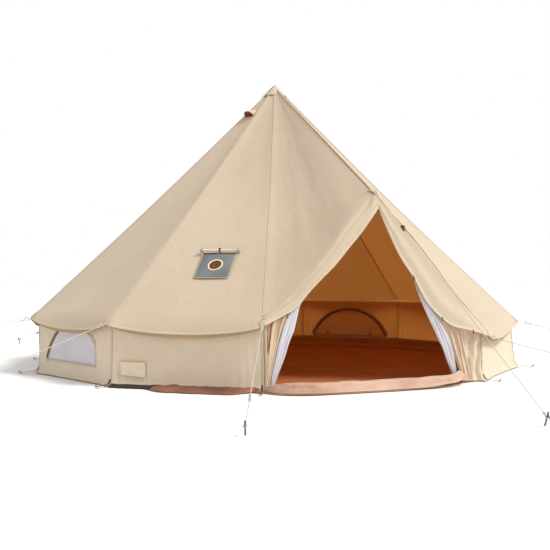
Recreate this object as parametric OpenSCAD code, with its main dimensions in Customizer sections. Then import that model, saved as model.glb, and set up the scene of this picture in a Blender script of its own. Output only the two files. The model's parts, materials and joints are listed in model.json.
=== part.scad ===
// Canvas bell tent with an A-frame door, pitched, with its guylines and pegs.
// Origin: centre of the floor, on the ground. +Z is up, the door faces -Y.
// Angles are measured from the door (-Y) towards +X.

/* [Canopy] */
// Radius of the wall corners
wall_radius = 2500; // [2000:50:3000]
// Height of the roof planes where they meet over the centre
peak_height = 2980; // [2600:10:3400]
// Height of the roof hem at its corners
hem_height = 525; // [450:5:600]
// How far the roof hem stands out past the wall corners
hem_overhang = 83; // [60:1:120]
// Half of the angle that the door side takes
door_half_angle = 24.6; // [20:0.1:26]
// Thickness of the canvas, with its seams and folds
canvas_t = 4; // [3:0.5:5]

/* [Door] */
// Height of the door canopy's front tip
door_tip_height = 1640; // [1500:10:1800]
// Distance of the door canopy's front tip from the centre
door_tip_reach = 2200; // [2100:10:2300]
// How far down the door hem hangs below the tip
door_hem_drop = 130; // [100:5:160]
// Half of the distance between the door pole's elbows
door_knee_x = 800; // [760:10:850]
// Height of the door pole's elbows
door_knee_height = 620; // [560:5:680]
// Half of the distance between the door pole's feet
door_foot_x = 970; // [900:10:990]
// Height of the raised sill
sill_height = 85; // [70:5:110]
// How far the sill stands out in front of the door
sill_reach = 300; // [150:10:350]

/* [Windows] */
// Half of the width of an arched window at its base
window_half_w = 515; // [400:5:540]
// Rise of the arch above the window's base
window_rise = 350; // [300:5:360]
// Height of the window's base above the ground
window_base = 150; // [140:5:170]

/* [Stove jack] */
// Side of the square heat-proof panel
jack_side = 300; // [260:10:340]
// Radius of the hole for the stove pipe
jack_hole_r = 56; // [50:1:65]

/* [Guylines] */
// Distance of the corner pegs from the centre
peg_reach = 4375; // [4000:25:4600]
// Distance of the door guyline's peg from the centre
door_peg_reach = 4375; // [4200:25:4700]
// Diameter of the rope
rope_d = 6; // [5:0.5:7]

/* [Poles] */
// Diameter of the centre pole
pole_d = 38; // [32:1:42]
// Diameter of the door pole
door_pole_d = 22; // [19:1:25]

/* [Hidden] */
$fn = 48;
corner_count = 11;
corner_step = (360 - 2 * door_half_angle) / (corner_count - 1);
function corner_angle(k) = door_half_angle + k * corner_step;
function flat(p) = [p[0], p[1]];
function panel_angle(k) = corner_angle(k + 0.5);
function place(r, a, z) = [r * sin(a), -r * cos(a), z];
side_angle = corner_step / 2;

hem_radius = wall_radius + hem_overhang;
// The hem hangs lower at the two corners to the right of the door, seen from outside.
function corner_drop(k) = k == 0 ? 130 : k == 1 ? 65 : 0;
function corner_z(k) = hem_height - corner_drop(k);
roof_fall = (peak_height - hem_height) / hem_radius;
roof_tilt = atan(roof_fall / cos(side_angle));
roof_mouth_r = 60;
function roof_z(r) = peak_height - roof_fall * r;
seam_gap = 0.04;

wall_h = roof_z(wall_radius) - canvas_t * 1.5 - 3;
sheet_t = 3;
sheet_radius = wall_radius + 30;
tub_radius = wall_radius - 30;
tub_h = 130;
tub_t = 3;

door_y = wall_radius * cos(door_half_angle);
door_half_w = wall_radius * sin(door_half_angle);
hem_y = hem_radius * cos(door_half_angle);
tip = [0, -door_tip_reach, door_tip_height];
hem_inner = [[0, -door_tip_reach - 4, door_tip_height - door_hem_drop], [430, -2262, 850], [720, -2310, 560]];
sill_half_w = 700;

arch_r = (pow(window_half_w, 2) + pow(window_rise, 2)) / (2 * window_rise);
arch_z = window_base + window_rise - arch_r;
arch_half_angle = asin(window_half_w / arch_r);
zip_w = 16;
zip_r = arch_r - zip_w / 2;
zip_end = arch_half_angle - 3;
window_panels = [1, 3, 6, 8];
open_windows = [1, 8];
closed_windows = [3, 6];

jack_panel = 9;
jack_along = 1975;
jack_across = 90;
port_panel = 9;
port_x = 470;
port_z = 150;
port_w = 230;
port_h = 120;
vent_panels = [2, 8];
vent_r = 330;

ring_r = 16;
ring_wire_r = 3;
ring_gap = 34;
function guy_top(k) = [hem_radius + ring_gap + ring_r + ring_wire_r + 1, corner_z(k) - 14];
guy_foot = [peg_reach + 8, 62];
door_guy_top = [door_tip_reach + ring_gap + ring_r + ring_wire_r + 1, door_tip_height - 24];
door_guy_foot = [door_peg_reach + 8, 66];
runner_share = 0.78;
door_runner_share = 0.2;
runner_l = 64;

// ---- shared shapes ----

// A solid between two upright planes through the centre: outline is a list of [radius, height].
module sector(a1, a2, outline) {
    n = len(outline);
    points = concat([for (p = outline) place(p[0], a1, p[1])], [for (p = outline) place(p[0], a2, p[1])]);
    sides = [for (i = [0:n - 1]) [i, n + i, n + (i + 1) % n, (i + 1) % n]];
    polyhedron(points, concat([[for (i = [0:n - 1]) i]], [[for (i = [0:n - 1]) 2 * n - 1 - i]], sides));
}

// A sector over the panel that starts at corner k, with a hair of room at both seams.
module panel_sector(k, outline) {
    sector(corner_angle(k) + seam_gap, corner_angle(k + 1) - seam_gap, outline);
}

// Moves children drawn upright (X to the right, Y outwards, Z up) to the middle of a wall panel.
module on_panel(k) {
    rotate([0, 0, panel_angle(k) + 180]) translate([0, wall_radius * cos(side_angle), 0]) children();
}

// Moves children drawn flat (Y up the slope, Z outwards) to a roof panel, at a radius along its middle.
module on_roof(k, r) {
    rotate([0, 0, panel_angle(k)]) translate([0, -r, peak_height - r * roof_fall / cos(side_angle)])
        rotate([roof_tilt, 0, 0]) children();
}

function middle(a, b, c) = (a + b + c) / 3;
function unit(v) = v / norm(v);

// A flat triangular cloth: the corners are its outer face, pulled in a little at its seams.
module cloth_triangle(a, b, c, room) {
    m = middle(a, b, c);
    n = unit(cross(b - a, c - a));
    outer = [for (p = [a, b, c]) m + (p - m) * (1 - room)];
    inner = [for (p = outer) p - n * canvas_t];
    polyhedron(concat(outer, inner), [[0, 2, 1], [3, 4, 5], [0, 1, 4, 3], [1, 2, 5, 4], [2, 0, 3, 5]]);
}

// A straight round bar between two points.
module bar(a, b, d) {
    v = b - a;
    translate(a) rotate([0, acos(v[2] / norm(v)), atan2(v[1], v[0])]) cylinder(d = d, h = norm(v));
}

module tube(a, b, d, wall) {
    v = b - a;
    translate(a) rotate([0, acos(v[2] / norm(v)), atan2(v[1], v[0])]) difference() {
        cylinder(d = d, h = norm(v));
        translate([0, 0, -1]) cylinder(d = d - 2 * wall, h = norm(v) + 2);
    }
}

module both_sides() {
    children();
    mirror([1, 0, 0]) children();
}

// ---- canvas ----

module roof_canvas() {
    drop = canvas_t / cos(atan(roof_fall));
    gore = [
        [roof_mouth_r, roof_z(roof_mouth_r)], [roof_mouth_r, roof_z(roof_mouth_r) - drop],
        [hem_radius, hem_height - drop], [hem_radius, hem_height]
    ];
    color("#ded0b4") for (k = [0:corner_count - 2]) {
        if (k == jack_panel) difference() {
            panel_sector(k, gore);
            on_roof(k, jack_along) translate([jack_across, 0, -20]) cylinder(r = jack_hole_r + 12, h = 40);
        } else panel_sector(k, gore);
    }
}

module door_canopy() {
    crown = [0, -roof_mouth_r, peak_height - roof_mouth_r * (peak_height - door_tip_height) / door_tip_reach];
    shoulder = place(roof_mouth_r, door_half_angle, roof_z(roof_mouth_r));
    hem_corner = place(hem_radius, door_half_angle, hem_height);
    hem_outer = (tip + hem_corner) / 2;
    color("#e4d8bf") both_sides() {
        cloth_triangle(crown, tip, hem_corner, 0.008);
        cloth_triangle(crown, hem_corner, shoulder, 0.008);
        cloth_triangle(tip, hem_inner[0], hem_inner[1], 0.02);
        cloth_triangle(tip, hem_inner[1], hem_outer, 0.02);
        cloth_triangle(hem_outer, hem_inner[1], hem_inner[2], 0.02);
        cloth_triangle(hem_outer, hem_inner[2], hem_corner, 0.02);
    }
}

module window_outline(r) {
    intersection() {
        translate([0, arch_z]) circle(r = r, $fn = 96);
        translate([-arch_r, window_base]) square([2 * arch_r, 2 * arch_r]);
    }
}

// A flat arch-shaped piece of cloth in a wall panel, between two depths from the wall's outer face.
module arch_plate(k, r, from, to) {
    on_panel(k) rotate([90, 0, 0]) translate([0, 0, from]) linear_extrude(to - from) window_outline(r);
}

module wall_canvas() {
    wall = [[wall_radius - canvas_t, sheet_t], [wall_radius, sheet_t], [wall_radius, wall_h],
        [wall_radius - canvas_t, wall_h]];
    color("#dccdb0") for (k = [0:corner_count - 2]) {
        if (len([for (w = window_panels) if (w == k) w]) > 0) difference() {
            panel_sector(k, wall);
            arch_plate(k, arch_r, -10, 20);
        } else panel_sector(k, wall);
    }
}

module apex_cap() {
    color("#8d8574") rotate_extrude() polygon([
        [10, peak_height + 20], [57, peak_height - 42], [57, peak_height - 56], [51, peak_height - 56],
        [51, peak_height - 45], [9, peak_height + 8], [0, peak_height + 8], [0, peak_height + 20]
    ]);
}

module vent_hood() {
    width = 120;
    height = 100;
    rise = 45;
    skin = 3;
    difference() {
        wedge(width, height, rise);
        translate([0, -skin, -0.1]) wedge(width - 2 * skin, height, rise - skin);
    }
}

// A wedge that opens down the slope.
module wedge(width, height, rise) {
    translate([-width / 2, 0, 0]) rotate([90, 0, 90]) linear_extrude(width)
        polygon([[-height / 2, 0], [height / 2, 0], [-height / 2, rise]]);
}

module apex_vent_hoods() {
    color("#d6c7a9") for (k = vent_panels) on_roof(k, vent_r) translate([0, 0, 0.5]) vent_hood();
}

// ---- ground sheet ----

// A point beyond the ground sheet's straight edge, at a share of the way along it.
function beside_wall(k, share, out) =
    flat(place(sheet_radius, corner_angle(k), 0)) * (1 - share)
    + flat(place(sheet_radius, corner_angle(k + 1), 0)) * share
    + out * [sin(panel_angle(k)), -cos(panel_angle(k))];

module groundsheet_floor() {
    corners = [for (k = [0:corner_count - 1]) flat(place(sheet_radius, corner_angle(k), 0))];
    front = -door_y - sill_reach - 30;
    loose_edge = [for (p = [[0.3, 90], [0.45, 200], [0.8, 220], [0.9, 100]]) beside_wall(port_panel, p[0], p[1])];
    outline = concat([for (k = [0:port_panel]) corners[k]], loose_edge, [corners[port_panel + 1]]);
    color("#5a2a18") linear_extrude(sheet_t) polygon(concat(outline, [[-sill_half_w, front], [sill_half_w, front]]));
}

module groundsheet_edge() {
    edge = [[tub_radius - tub_t, sheet_t], [tub_radius, sheet_t], [tub_radius, tub_h], [tub_radius - tub_t, tub_h]];
    color("#6a341f") for (k = [0:corner_count - 2]) panel_sector(k, edge);
}

module door_sill() {
    profile = [[0, sheet_t], [60, sheet_t], [42, sill_height], [22, sill_height]];
    color("#d9b9a3") translate([-sill_half_w, -door_y - sill_reach - 20, 0]) rotate([90, 0, 90])
        linear_extrude(2 * sill_half_w) polygon(profile);
}

// ---- poles ----

pole_foot_h = 40;
pole_step = (peak_height - 80 - pole_foot_h) / 3;
spigot_h = 120;
spigot_d = pole_d - 4;

module pole_section(z, spigot) {
    translate([0, 0, z]) difference() {
        union() {
            cylinder(d = pole_d, h = pole_step);
            if (spigot) translate([0, 0, pole_step]) cylinder(d = spigot_d, h = spigot_h);
        }
        translate([0, 0, -1]) cylinder(d = spigot_d + 0.4, h = spigot_h + 4);
    }
}

module centre_pole_bottom() {
    color("#b9bcc0") pole_section(sheet_t + pole_foot_h - 37, true);
}

module centre_pole_middle() {
    color("#b9bcc0") pole_section(sheet_t + pole_foot_h - 37 + pole_step, true);
}

module centre_pole_top() {
    base = sheet_t + pole_foot_h - 37 + 2 * pole_step;
    pin_h = 118;
    color("#b9bcc0") {
        pole_section(base, false);
        translate([0, 0, base + pole_step - 1]) cylinder(d = 14, h = pin_h);
    }
}

door_foot = [door_foot_x, -door_y + 45, sheet_t + 20];
door_knee = [door_knee_x, -door_y + 35, door_knee_height];
door_crown = [24, -door_tip_reach + 60, door_tip_height - 85];

module foot_cup(x, y, d) {
    translate([x, y, sheet_t]) difference() {
        cylinder(d1 = d + 26, d2 = d + 8, h = 36);
        translate([0, 0, 2.5]) cylinder(d = d + 0.4, h = 40);
    }
}

module pole_feet() {
    color("#2b2b2b") {
        foot_cup(0, 0, pole_d);
        for (side = [-1, 1]) translate([side * door_foot[0], door_foot[1], sheet_t])
            cylinder(d1 = 44, d2 = 34, h = 15);
    }
}

module door_leg() {
    bar(door_foot, door_knee, door_pole_d);
    translate(door_knee) sphere(d = door_pole_d + 8);
    bar(door_knee, door_crown, door_pole_d);
}

module door_pole_left() {
    color("#b9bcc0") mirror([1, 0, 0]) door_leg();
}

module door_pole_right() {
    color("#b9bcc0") door_leg();
}

module door_pole_joint() {
    lift = unit(door_crown - door_knee);
    start = door_crown + lift * 0.5;
    color("#2f2f2f") {
        both_sides() bar(start, start + lift * 42, door_pole_d + 6);
        translate([0, start[1], start[2] + 40]) rotate([90, 0, 0]) cylinder(d = 46, h = 24, center = true);
    }
}

// ---- door cloths ----

// A slab of gathered cloth that hangs in the door plane, from corners given as [x, z].
module door_cloth(corners, depth, y) {
    translate([0, y, 0]) rotate([90, 0, 0]) linear_extrude(depth, center = true) polygon(corners);
}

leaf_corners = [[900, sheet_t + 3], [1005, sheet_t + 3], [1028, 480], [720, 535], [860, 200]];
mesh_corners = [[717, 536], [640, 560], [780, 200], [850, sheet_t + 3], [896, sheet_t + 3], [856, 200]];

module door_leaf() {
    door_cloth(leaf_corners, 36, -door_y - 14);
}

module door_mesh() {
    door_cloth(mesh_corners, 14, -door_y - 14);
}

module door_leaf_left() {
    color("#e0d2b6") mirror([1, 0, 0]) door_leaf();
}

module door_leaf_right() {
    color("#eadfc8") door_leaf();
}

module door_mesh_left() {
    color("#d4d2d6") mirror([1, 0, 0]) door_mesh();
}

module door_mesh_right() {
    color("#d4d2d6") door_mesh();
}

module door_toggles() {
    color("#3a2c20") both_sides() {
        for (z = [330, 450]) translate([930, -door_y - 38, z]) rotate([0, 70, 0])
            cylinder(d = 10, h = 40, center = true);
    }
}

// ---- windows ----

module window_meshes() {
    color("#d0cfd3") for (k = window_panels) arch_plate(k, arch_r - zip_w - 0.5, 2, 3.2);
}

module window_zips() {
    color("#4a2f1c") for (k = window_panels) on_panel(k) rotate([90, 0, 0]) translate([0, 0, 1])
        linear_extrude(3) difference() {
            window_outline(arch_r - 0.5);
            translate([0, arch_z]) circle(r = arch_r - zip_w, $fn = 96);
        }
}

module window_covers() {
    roll_d = 60;
    roll_l = 2 * window_half_w - 60;
    color("#d8c8aa") {
        for (k = closed_windows) arch_plate(k, arch_r - zip_w - 6, 5, 7.5);
        for (k = open_windows) on_panel(k) translate([-roll_l / 2, -tub_offset - roll_d / 2 - 2, tub_h + roll_d / 2 + 2])
            rotate([0, 90, 0]) cylinder(d = roll_d, h = roll_l);
    }
}

tub_offset = (wall_radius - tub_radius) * cos(side_angle) + tub_t;

module zip_slider(i) {
    k = window_panels[i];
    color("#b08d57") on_panel(k) translate([0, 0, arch_z]) rotate([0, -zip_end, 0]) {
        translate([-12, -12, zip_r - 6]) cube([24, 7.4, 12]);
        translate([-4, -11, zip_r - 46]) cube([8, 3, 40.5]);
    }
}

// ---- stove jack and cable port ----

module stove_jack_panel() {
    color("#7f8a96") on_roof(jack_panel, jack_along) translate([jack_across, 0, 0.5]) difference() {
        translate([-jack_side / 2, -jack_side / 2, 0]) cube([jack_side, jack_side, canvas_t]);
        translate([0, 0, -1]) cylinder(r = jack_hole_r, h = canvas_t + 2);
    }
}

module stove_jack_ring() {
    color("#ece3cf") on_roof(jack_panel, jack_along) translate([jack_across, 0, canvas_t + 0.5]) difference() {
        cylinder(r = jack_hole_r + 11, h = 4);
        translate([0, 0, -1]) cylinder(r = jack_hole_r + 2, h = 6);
    }
}

module stove_jack_flap() {
    roll_d = 34;
    roll_l = jack_side + 40;
    color("#e2d6bd") on_roof(jack_panel, jack_along)
        translate([jack_across - roll_l / 2, jack_side / 2 + roll_d / 2 + 4, roll_d / 2 + 1]) rotate([0, 90, 0])
            cylinder(d = roll_d, h = roll_l);
}

module cable_port_flap() {
    color("#dacbad") on_panel(port_panel) translate([port_x - port_w / 2, 0.6, port_z - port_h / 2])
        cube([port_w, 3, port_h]);
}

// ---- rings, ropes, runners and pegs ----

module at_corner(k) {
    rotate([0, 0, corner_angle(k)]) children();
}

// A cloth tab that reaches outwards from a seam end, at [radius, height].
module guy_tab(r, z) {
    translate([-14, -r - 14, z - 1.5]) cube([28, 13, 3]);
}

module guy_ring(r, z) {
    translate([0, -r - ring_gap, z]) rotate([0, 90, 0]) rotate_extrude()
        translate([ring_r, 0]) circle(r = ring_wire_r, $fn = 24);
}

module guy_tabs() {
    color("#cdbd9c") {
        for (k = [0:corner_count - 1]) at_corner(k) guy_tab(hem_radius, corner_z(k) - 8);
        for (k = [0:1]) at_corner(k) translate([-14, -hem_radius - 13, corner_z(k) - 6]) cube([28, 3, corner_drop(k)]);
        guy_tab(door_tip_reach, door_tip_height - 8);
    }
}

module guy_rings() {
    color("#9a9ca0") {
        for (k = [0:corner_count - 1]) at_corner(k) guy_ring(hem_radius, corner_z(k) - 8);
        guy_ring(door_tip_reach, door_tip_height - 8);
    }
}

// A taut rope in the upright plane through the centre, between two [radius, height] points.
module rope(top, foot) {
    bar([0, -top[0], top[1]], [0, -foot[0], foot[1]], rope_d);
}

module guyline(k) {
    color("#ece9e2") {
        if (k < corner_count) at_corner(k) rope(guy_top(k), guy_foot);
        else rope(door_guy_top, door_guy_foot);
    }
}

// A runner at a share of the way down a rope: a rounded three-cornered plate with a bore along it.
module runner_on(top, foot, share) {
    run = foot - top;
    tilt = atan2(run[1], run[0]);
    spot = top + run * share;
    translate([0, -spot[0], spot[1]]) rotate([-tilt, 0, 0]) rotate([90, 0, 0]) difference() {
        translate([0, 0, -runner_l / 2]) rotate([0, -90, 0]) translate([0, 0, -7]) linear_extrude(14)
            polygon([[0, -9], [runner_l, -9], [runner_l, 5], [runner_l / 2 + 8, 24], [runner_l / 2 - 8, 24], [0, 5]]);
        translate([0, 0, -runner_l]) cylinder(d = rope_d + 2, h = 2 * runner_l);
        translate([-10, 14, 0]) rotate([0, 90, 0]) cylinder(d = 7, h = 20);
    }
}

module runner(k) {
    if (k < corner_count) color("#9da1a3") at_corner(k) runner_on(guy_top(k), guy_foot, runner_share);
    else color("#6e2f22") runner_on(door_guy_top, door_guy_foot, door_runner_share);
}

// A steel peg driven at a slant, cut off at the ground, with a short hook welded to it.
module peg(r, d, above, lean, hook) {
    translate([0, -r, 0]) rotate([lean, 0, 0]) difference() {
        union() {
            translate([0, 0, -above]) cylinder(d = d, h = 2 * above);
            translate([0, 0, above - d]) rotate([125, 0, 0]) cylinder(d = d * 0.8, h = hook);
        }
        rotate([-lean, 0, 0]) translate([0, 0, -2 * above]) cube(4 * above, center = true);
    }
}

module guy_pegs() {
    color("#4a4c50") {
        for (k = [0:corner_count - 1]) at_corner(k) peg(peg_reach, 12, 95, 20, 34);
        peg(door_peg_reach, 12, 95, 20, 34);
    }
}

module wall_peg_loops() {
    color("#5c564b") for (k = [0:corner_count - 1]) at_corner(k) {
        translate([-9, -wall_radius - 152, sheet_t + 1]) cube([18, 118, 2]);
    }
}

module wall_pegs() {
    color("#55585c") for (k = [0:corner_count - 1]) at_corner(k) peg(wall_radius + 164, 7, 40, 35, 24);
}

roof_canvas();
door_canopy();
wall_canvas();
apex_cap();
apex_vent_hoods();
groundsheet_floor();
groundsheet_edge();
door_sill();
centre_pole_bottom();
centre_pole_middle();
centre_pole_top();
pole_feet();
door_pole_left();
door_pole_right();
door_pole_joint();
door_leaf_left();
door_leaf_right();
door_mesh_left();
door_mesh_right();
door_toggles();
window_meshes();
window_zips();
window_covers();
stove_jack_panel();
stove_jack_ring();
stove_jack_flap();
cable_port_flap();
guy_tabs();
guy_rings();
guy_pegs();
wall_peg_loops();
wall_pegs();
for (k = [0:len(window_panels) - 1]) zip_slider(k);
for (k = [0:corner_count]) guyline(k);
for (k = [0:corner_count]) runner(k);
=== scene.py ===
"""Canvas bell tent: the looks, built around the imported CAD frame. Metres, door facing -Y, +Z up."""

import json
import math

import bmesh
import bpy
import numpy as np
from mathutils import Vector
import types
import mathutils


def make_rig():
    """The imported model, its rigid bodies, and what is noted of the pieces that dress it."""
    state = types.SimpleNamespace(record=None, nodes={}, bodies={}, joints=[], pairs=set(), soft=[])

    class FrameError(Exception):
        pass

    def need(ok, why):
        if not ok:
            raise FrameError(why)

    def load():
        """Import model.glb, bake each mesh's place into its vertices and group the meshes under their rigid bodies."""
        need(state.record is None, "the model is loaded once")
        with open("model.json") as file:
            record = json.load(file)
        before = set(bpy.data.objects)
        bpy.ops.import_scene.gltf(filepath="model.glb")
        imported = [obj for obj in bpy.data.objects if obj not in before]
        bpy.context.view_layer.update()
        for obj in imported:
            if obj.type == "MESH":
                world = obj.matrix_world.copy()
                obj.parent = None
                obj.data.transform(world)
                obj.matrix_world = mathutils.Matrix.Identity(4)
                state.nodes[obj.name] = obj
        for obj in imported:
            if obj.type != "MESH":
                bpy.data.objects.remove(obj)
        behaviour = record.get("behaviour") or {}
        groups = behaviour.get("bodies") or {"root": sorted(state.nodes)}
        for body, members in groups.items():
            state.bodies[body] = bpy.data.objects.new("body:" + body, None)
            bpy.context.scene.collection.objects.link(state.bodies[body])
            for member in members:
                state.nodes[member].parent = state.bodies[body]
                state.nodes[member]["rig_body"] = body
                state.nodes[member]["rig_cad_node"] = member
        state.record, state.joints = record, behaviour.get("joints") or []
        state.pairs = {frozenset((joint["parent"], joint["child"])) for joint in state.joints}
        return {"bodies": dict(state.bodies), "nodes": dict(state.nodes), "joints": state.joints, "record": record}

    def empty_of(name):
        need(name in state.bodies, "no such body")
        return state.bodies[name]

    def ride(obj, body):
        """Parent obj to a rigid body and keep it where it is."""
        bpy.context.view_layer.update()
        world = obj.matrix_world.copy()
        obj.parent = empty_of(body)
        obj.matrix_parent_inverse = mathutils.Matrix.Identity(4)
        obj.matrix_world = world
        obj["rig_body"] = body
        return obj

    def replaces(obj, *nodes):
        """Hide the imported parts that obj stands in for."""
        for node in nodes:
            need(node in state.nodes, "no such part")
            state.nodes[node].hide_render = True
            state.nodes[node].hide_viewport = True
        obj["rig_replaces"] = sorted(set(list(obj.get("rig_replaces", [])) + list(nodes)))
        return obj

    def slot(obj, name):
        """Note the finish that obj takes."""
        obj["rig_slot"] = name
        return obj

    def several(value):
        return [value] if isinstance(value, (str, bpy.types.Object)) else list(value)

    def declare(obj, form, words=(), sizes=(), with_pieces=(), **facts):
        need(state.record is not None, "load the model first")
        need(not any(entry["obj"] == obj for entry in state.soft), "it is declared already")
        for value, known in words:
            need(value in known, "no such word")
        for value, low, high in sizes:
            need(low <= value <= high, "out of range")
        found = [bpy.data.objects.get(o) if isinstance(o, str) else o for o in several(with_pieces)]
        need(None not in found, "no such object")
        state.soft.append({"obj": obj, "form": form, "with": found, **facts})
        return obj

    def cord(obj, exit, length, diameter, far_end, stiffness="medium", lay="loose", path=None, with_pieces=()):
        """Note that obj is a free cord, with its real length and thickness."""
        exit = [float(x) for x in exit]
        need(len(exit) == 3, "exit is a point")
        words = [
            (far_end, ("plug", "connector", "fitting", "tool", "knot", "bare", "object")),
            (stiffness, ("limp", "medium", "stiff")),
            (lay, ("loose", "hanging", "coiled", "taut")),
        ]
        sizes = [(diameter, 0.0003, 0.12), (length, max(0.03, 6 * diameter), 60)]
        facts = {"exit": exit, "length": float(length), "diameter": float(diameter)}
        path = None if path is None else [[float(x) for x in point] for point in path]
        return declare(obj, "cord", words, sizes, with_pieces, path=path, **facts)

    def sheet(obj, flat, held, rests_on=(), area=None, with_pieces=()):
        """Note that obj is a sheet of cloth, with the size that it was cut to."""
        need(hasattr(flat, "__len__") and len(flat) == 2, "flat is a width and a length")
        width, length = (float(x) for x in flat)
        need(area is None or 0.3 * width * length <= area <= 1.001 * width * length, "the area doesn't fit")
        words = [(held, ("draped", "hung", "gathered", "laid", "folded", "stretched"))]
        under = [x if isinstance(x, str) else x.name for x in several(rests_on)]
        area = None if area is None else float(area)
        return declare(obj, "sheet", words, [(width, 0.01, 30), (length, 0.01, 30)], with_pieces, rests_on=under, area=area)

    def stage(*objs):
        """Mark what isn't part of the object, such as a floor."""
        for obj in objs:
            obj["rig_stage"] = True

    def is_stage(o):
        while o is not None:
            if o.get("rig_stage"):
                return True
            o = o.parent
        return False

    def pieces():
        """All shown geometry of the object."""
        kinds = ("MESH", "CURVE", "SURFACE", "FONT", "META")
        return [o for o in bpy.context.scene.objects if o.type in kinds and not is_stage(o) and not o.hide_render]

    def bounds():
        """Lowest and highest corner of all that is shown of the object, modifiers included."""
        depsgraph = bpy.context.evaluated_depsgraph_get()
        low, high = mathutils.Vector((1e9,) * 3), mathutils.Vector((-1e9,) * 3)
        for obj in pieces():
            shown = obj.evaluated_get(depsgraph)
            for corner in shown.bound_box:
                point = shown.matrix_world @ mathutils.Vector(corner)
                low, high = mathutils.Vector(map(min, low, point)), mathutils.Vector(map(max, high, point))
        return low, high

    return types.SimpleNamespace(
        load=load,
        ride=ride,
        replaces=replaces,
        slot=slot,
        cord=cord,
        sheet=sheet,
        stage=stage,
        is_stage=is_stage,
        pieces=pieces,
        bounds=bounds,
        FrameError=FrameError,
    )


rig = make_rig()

TAU = 2 * math.pi

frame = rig.load()
cad_bounds = [list(v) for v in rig.bounds()]

# ---- the tent's own sizes, as in the CAD ----
CORNERS = 11  # wall corners; corner 0 is at the right of the door, and panel k runs from corner k to k + 1
HALF_DOOR = 24.6  # degrees
STEP = (360 - 2 * HALF_DOOR) / (CORNERS - 1)
SIDE = math.radians(STEP / 2)
WALL_R, HEM_R, PEAK, HEM_Z = 2.5, 2.583, 2.98, 0.525
FALL = (PEAK - HEM_Z) / HEM_R
WALL_Z = PEAK - FALL * WALL_R
TILT = math.atan(FALL / math.cos(SIDE))
PANEL_HALF = WALL_R * math.sin(SIDE)
DOOR_Y = WALL_R * math.cos(math.radians(HALF_DOOR))
TIP = np.array([0.0, -2.2, 1.64])  # front tip of the door canopy
PEG_R = 4.375
ROPE_D = 0.006
WINDOW_PANELS = (1, 3, 6, 8)
OPEN_WINDOWS = (1, 8)
ARCH_HALF_W, ARCH_RISE, ARCH_BASE = 0.515, 0.35, 0.15
ARCH_R = (ARCH_HALF_W**2 + ARCH_RISE**2) / (2 * ARCH_RISE)
ARCH_Z = ARCH_BASE + ARCH_RISE - ARCH_R
ARCH_ANGLE = math.asin(ARCH_HALF_W / ARCH_R)
# The eave right of the door is slacker: how far each corner hangs down and in, and how deep its seam sags
DROP = {0: 0.13, 1: 0.065}
PULL = {1: 0.052}
SLACK = {0: 0.022, 1: 0.030, 2: 0.025}
OTHER_SLACK = 0.018
JACK_PANEL, JACK_R, JACK_ACROSS = 9, 1.975, 0.09
LEVEL = np.array([1, 1, 0])  # keeps a vector's level part


def corner_angle(k):
    return math.radians(HALF_DOOR + k * STEP)


def place(r, angle, z):
    return np.array([r * math.sin(angle), -r * math.cos(angle), z])


def corner(k, r, z):
    return place(r, corner_angle(k), z)


def unit(v):
    v = np.asarray(v, float)
    return v / np.maximum(np.linalg.norm(v, axis=-1, keepdims=True), 1e-12)


def smooth01(x):
    x = np.clip(x, 0, 1)
    return x * x * (3 - 2 * x)


def run_along(points):
    """Distance along a line at each of its points, from 0."""
    return np.concatenate([[0], np.cumsum(np.linalg.norm(np.diff(points, axis=0), axis=1))])


def hoop(centre, a, b, across_a, across_b, turn):
    """Points round an ellipse in the plane of a and b."""
    return centre + np.outer(across_a * np.cos(turn), a) + np.outer(across_b * np.sin(turn), b)


# ---- camera ----
LENS_MM, SENSOR_MM = 57.16, 36.0
CAMERA_AT, CAMERA_TO = Vector((-3.587, -8.724, 0.915)), Vector((0, 0, 0.941))
scene = bpy.context.scene
camera_data = bpy.data.cameras.new("camera")
camera_data.lens, camera_data.sensor_width = LENS_MM, SENSOR_MM
camera_data.clip_end = 200.0
camera = bpy.data.objects.new("camera", camera_data)
scene.collection.objects.link(camera)
camera.location = CAMERA_AT
camera.rotation_euler = (CAMERA_TO - CAMERA_AT).to_track_quat("-Z", "Y").to_euler()
scene.camera = camera


# ---- repeatable noise ----
def _hash(ix, iy, seed):
    h = (ix.astype(np.int64) * 374761393 + iy.astype(np.int64) * 668265263 + seed * 974634777) & 0xFFFFFFFF
    h = ((h ^ (h >> 13)) * 1274126177) & 0xFFFFFFFF
    return ((h ^ (h >> 16)) & 0xFFFF) / 65535.0


def noise(x, y, seed=0):
    """Smooth value noise from -1 to 1."""
    x, y = np.broadcast_arrays(np.asarray(x, float), np.asarray(y, float))
    ix, iy = np.floor(x), np.floor(y)
    fx, fy = smooth01(x - ix), smooth01(y - iy)
    a, b = _hash(ix, iy, seed), _hash(ix + 1, iy, seed)
    c, d = _hash(ix, iy + 1, seed), _hash(ix + 1, iy + 1, seed)
    return 2 * ((a * (1 - fx) + b * fx) * (1 - fy) + (c * (1 - fx) + d * fx) * fy) - 1


def folds(x, y, seed=0):
    """Creases of three sizes, from about -1 to 1."""
    total, size = 0.0, 1.0
    for i in range(3):
        total = total + size * noise(x * 2**i, y * 2**i, seed + 17 * i)
        size *= 0.5
    return total / 1.75


def spline(points, count):
    """Evenly spaced points on a smooth line through the given ones."""
    p = np.asarray(points, float)
    ext = np.vstack([2 * p[0] - p[1], p, 2 * p[-1] - p[-2]])
    out = []
    for i in range(len(p) - 1):
        a, b, c, d = ext[i : i + 4]
        for t in np.linspace(0, 1, 24, endpoint=False):
            out.append(
                0.5 * (2 * b + (c - a) * t + (2 * a - 5 * b + 4 * c - d) * t**2 + (3 * b - a - 3 * c + d) * t**3)
            )
    out = np.array(out + [p[-1]])
    run = run_along(out)
    where = np.linspace(0, run[-1], count)
    return np.stack([np.interp(where, run, out[:, i]) for i in range(out.shape[1])], 1)


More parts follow.
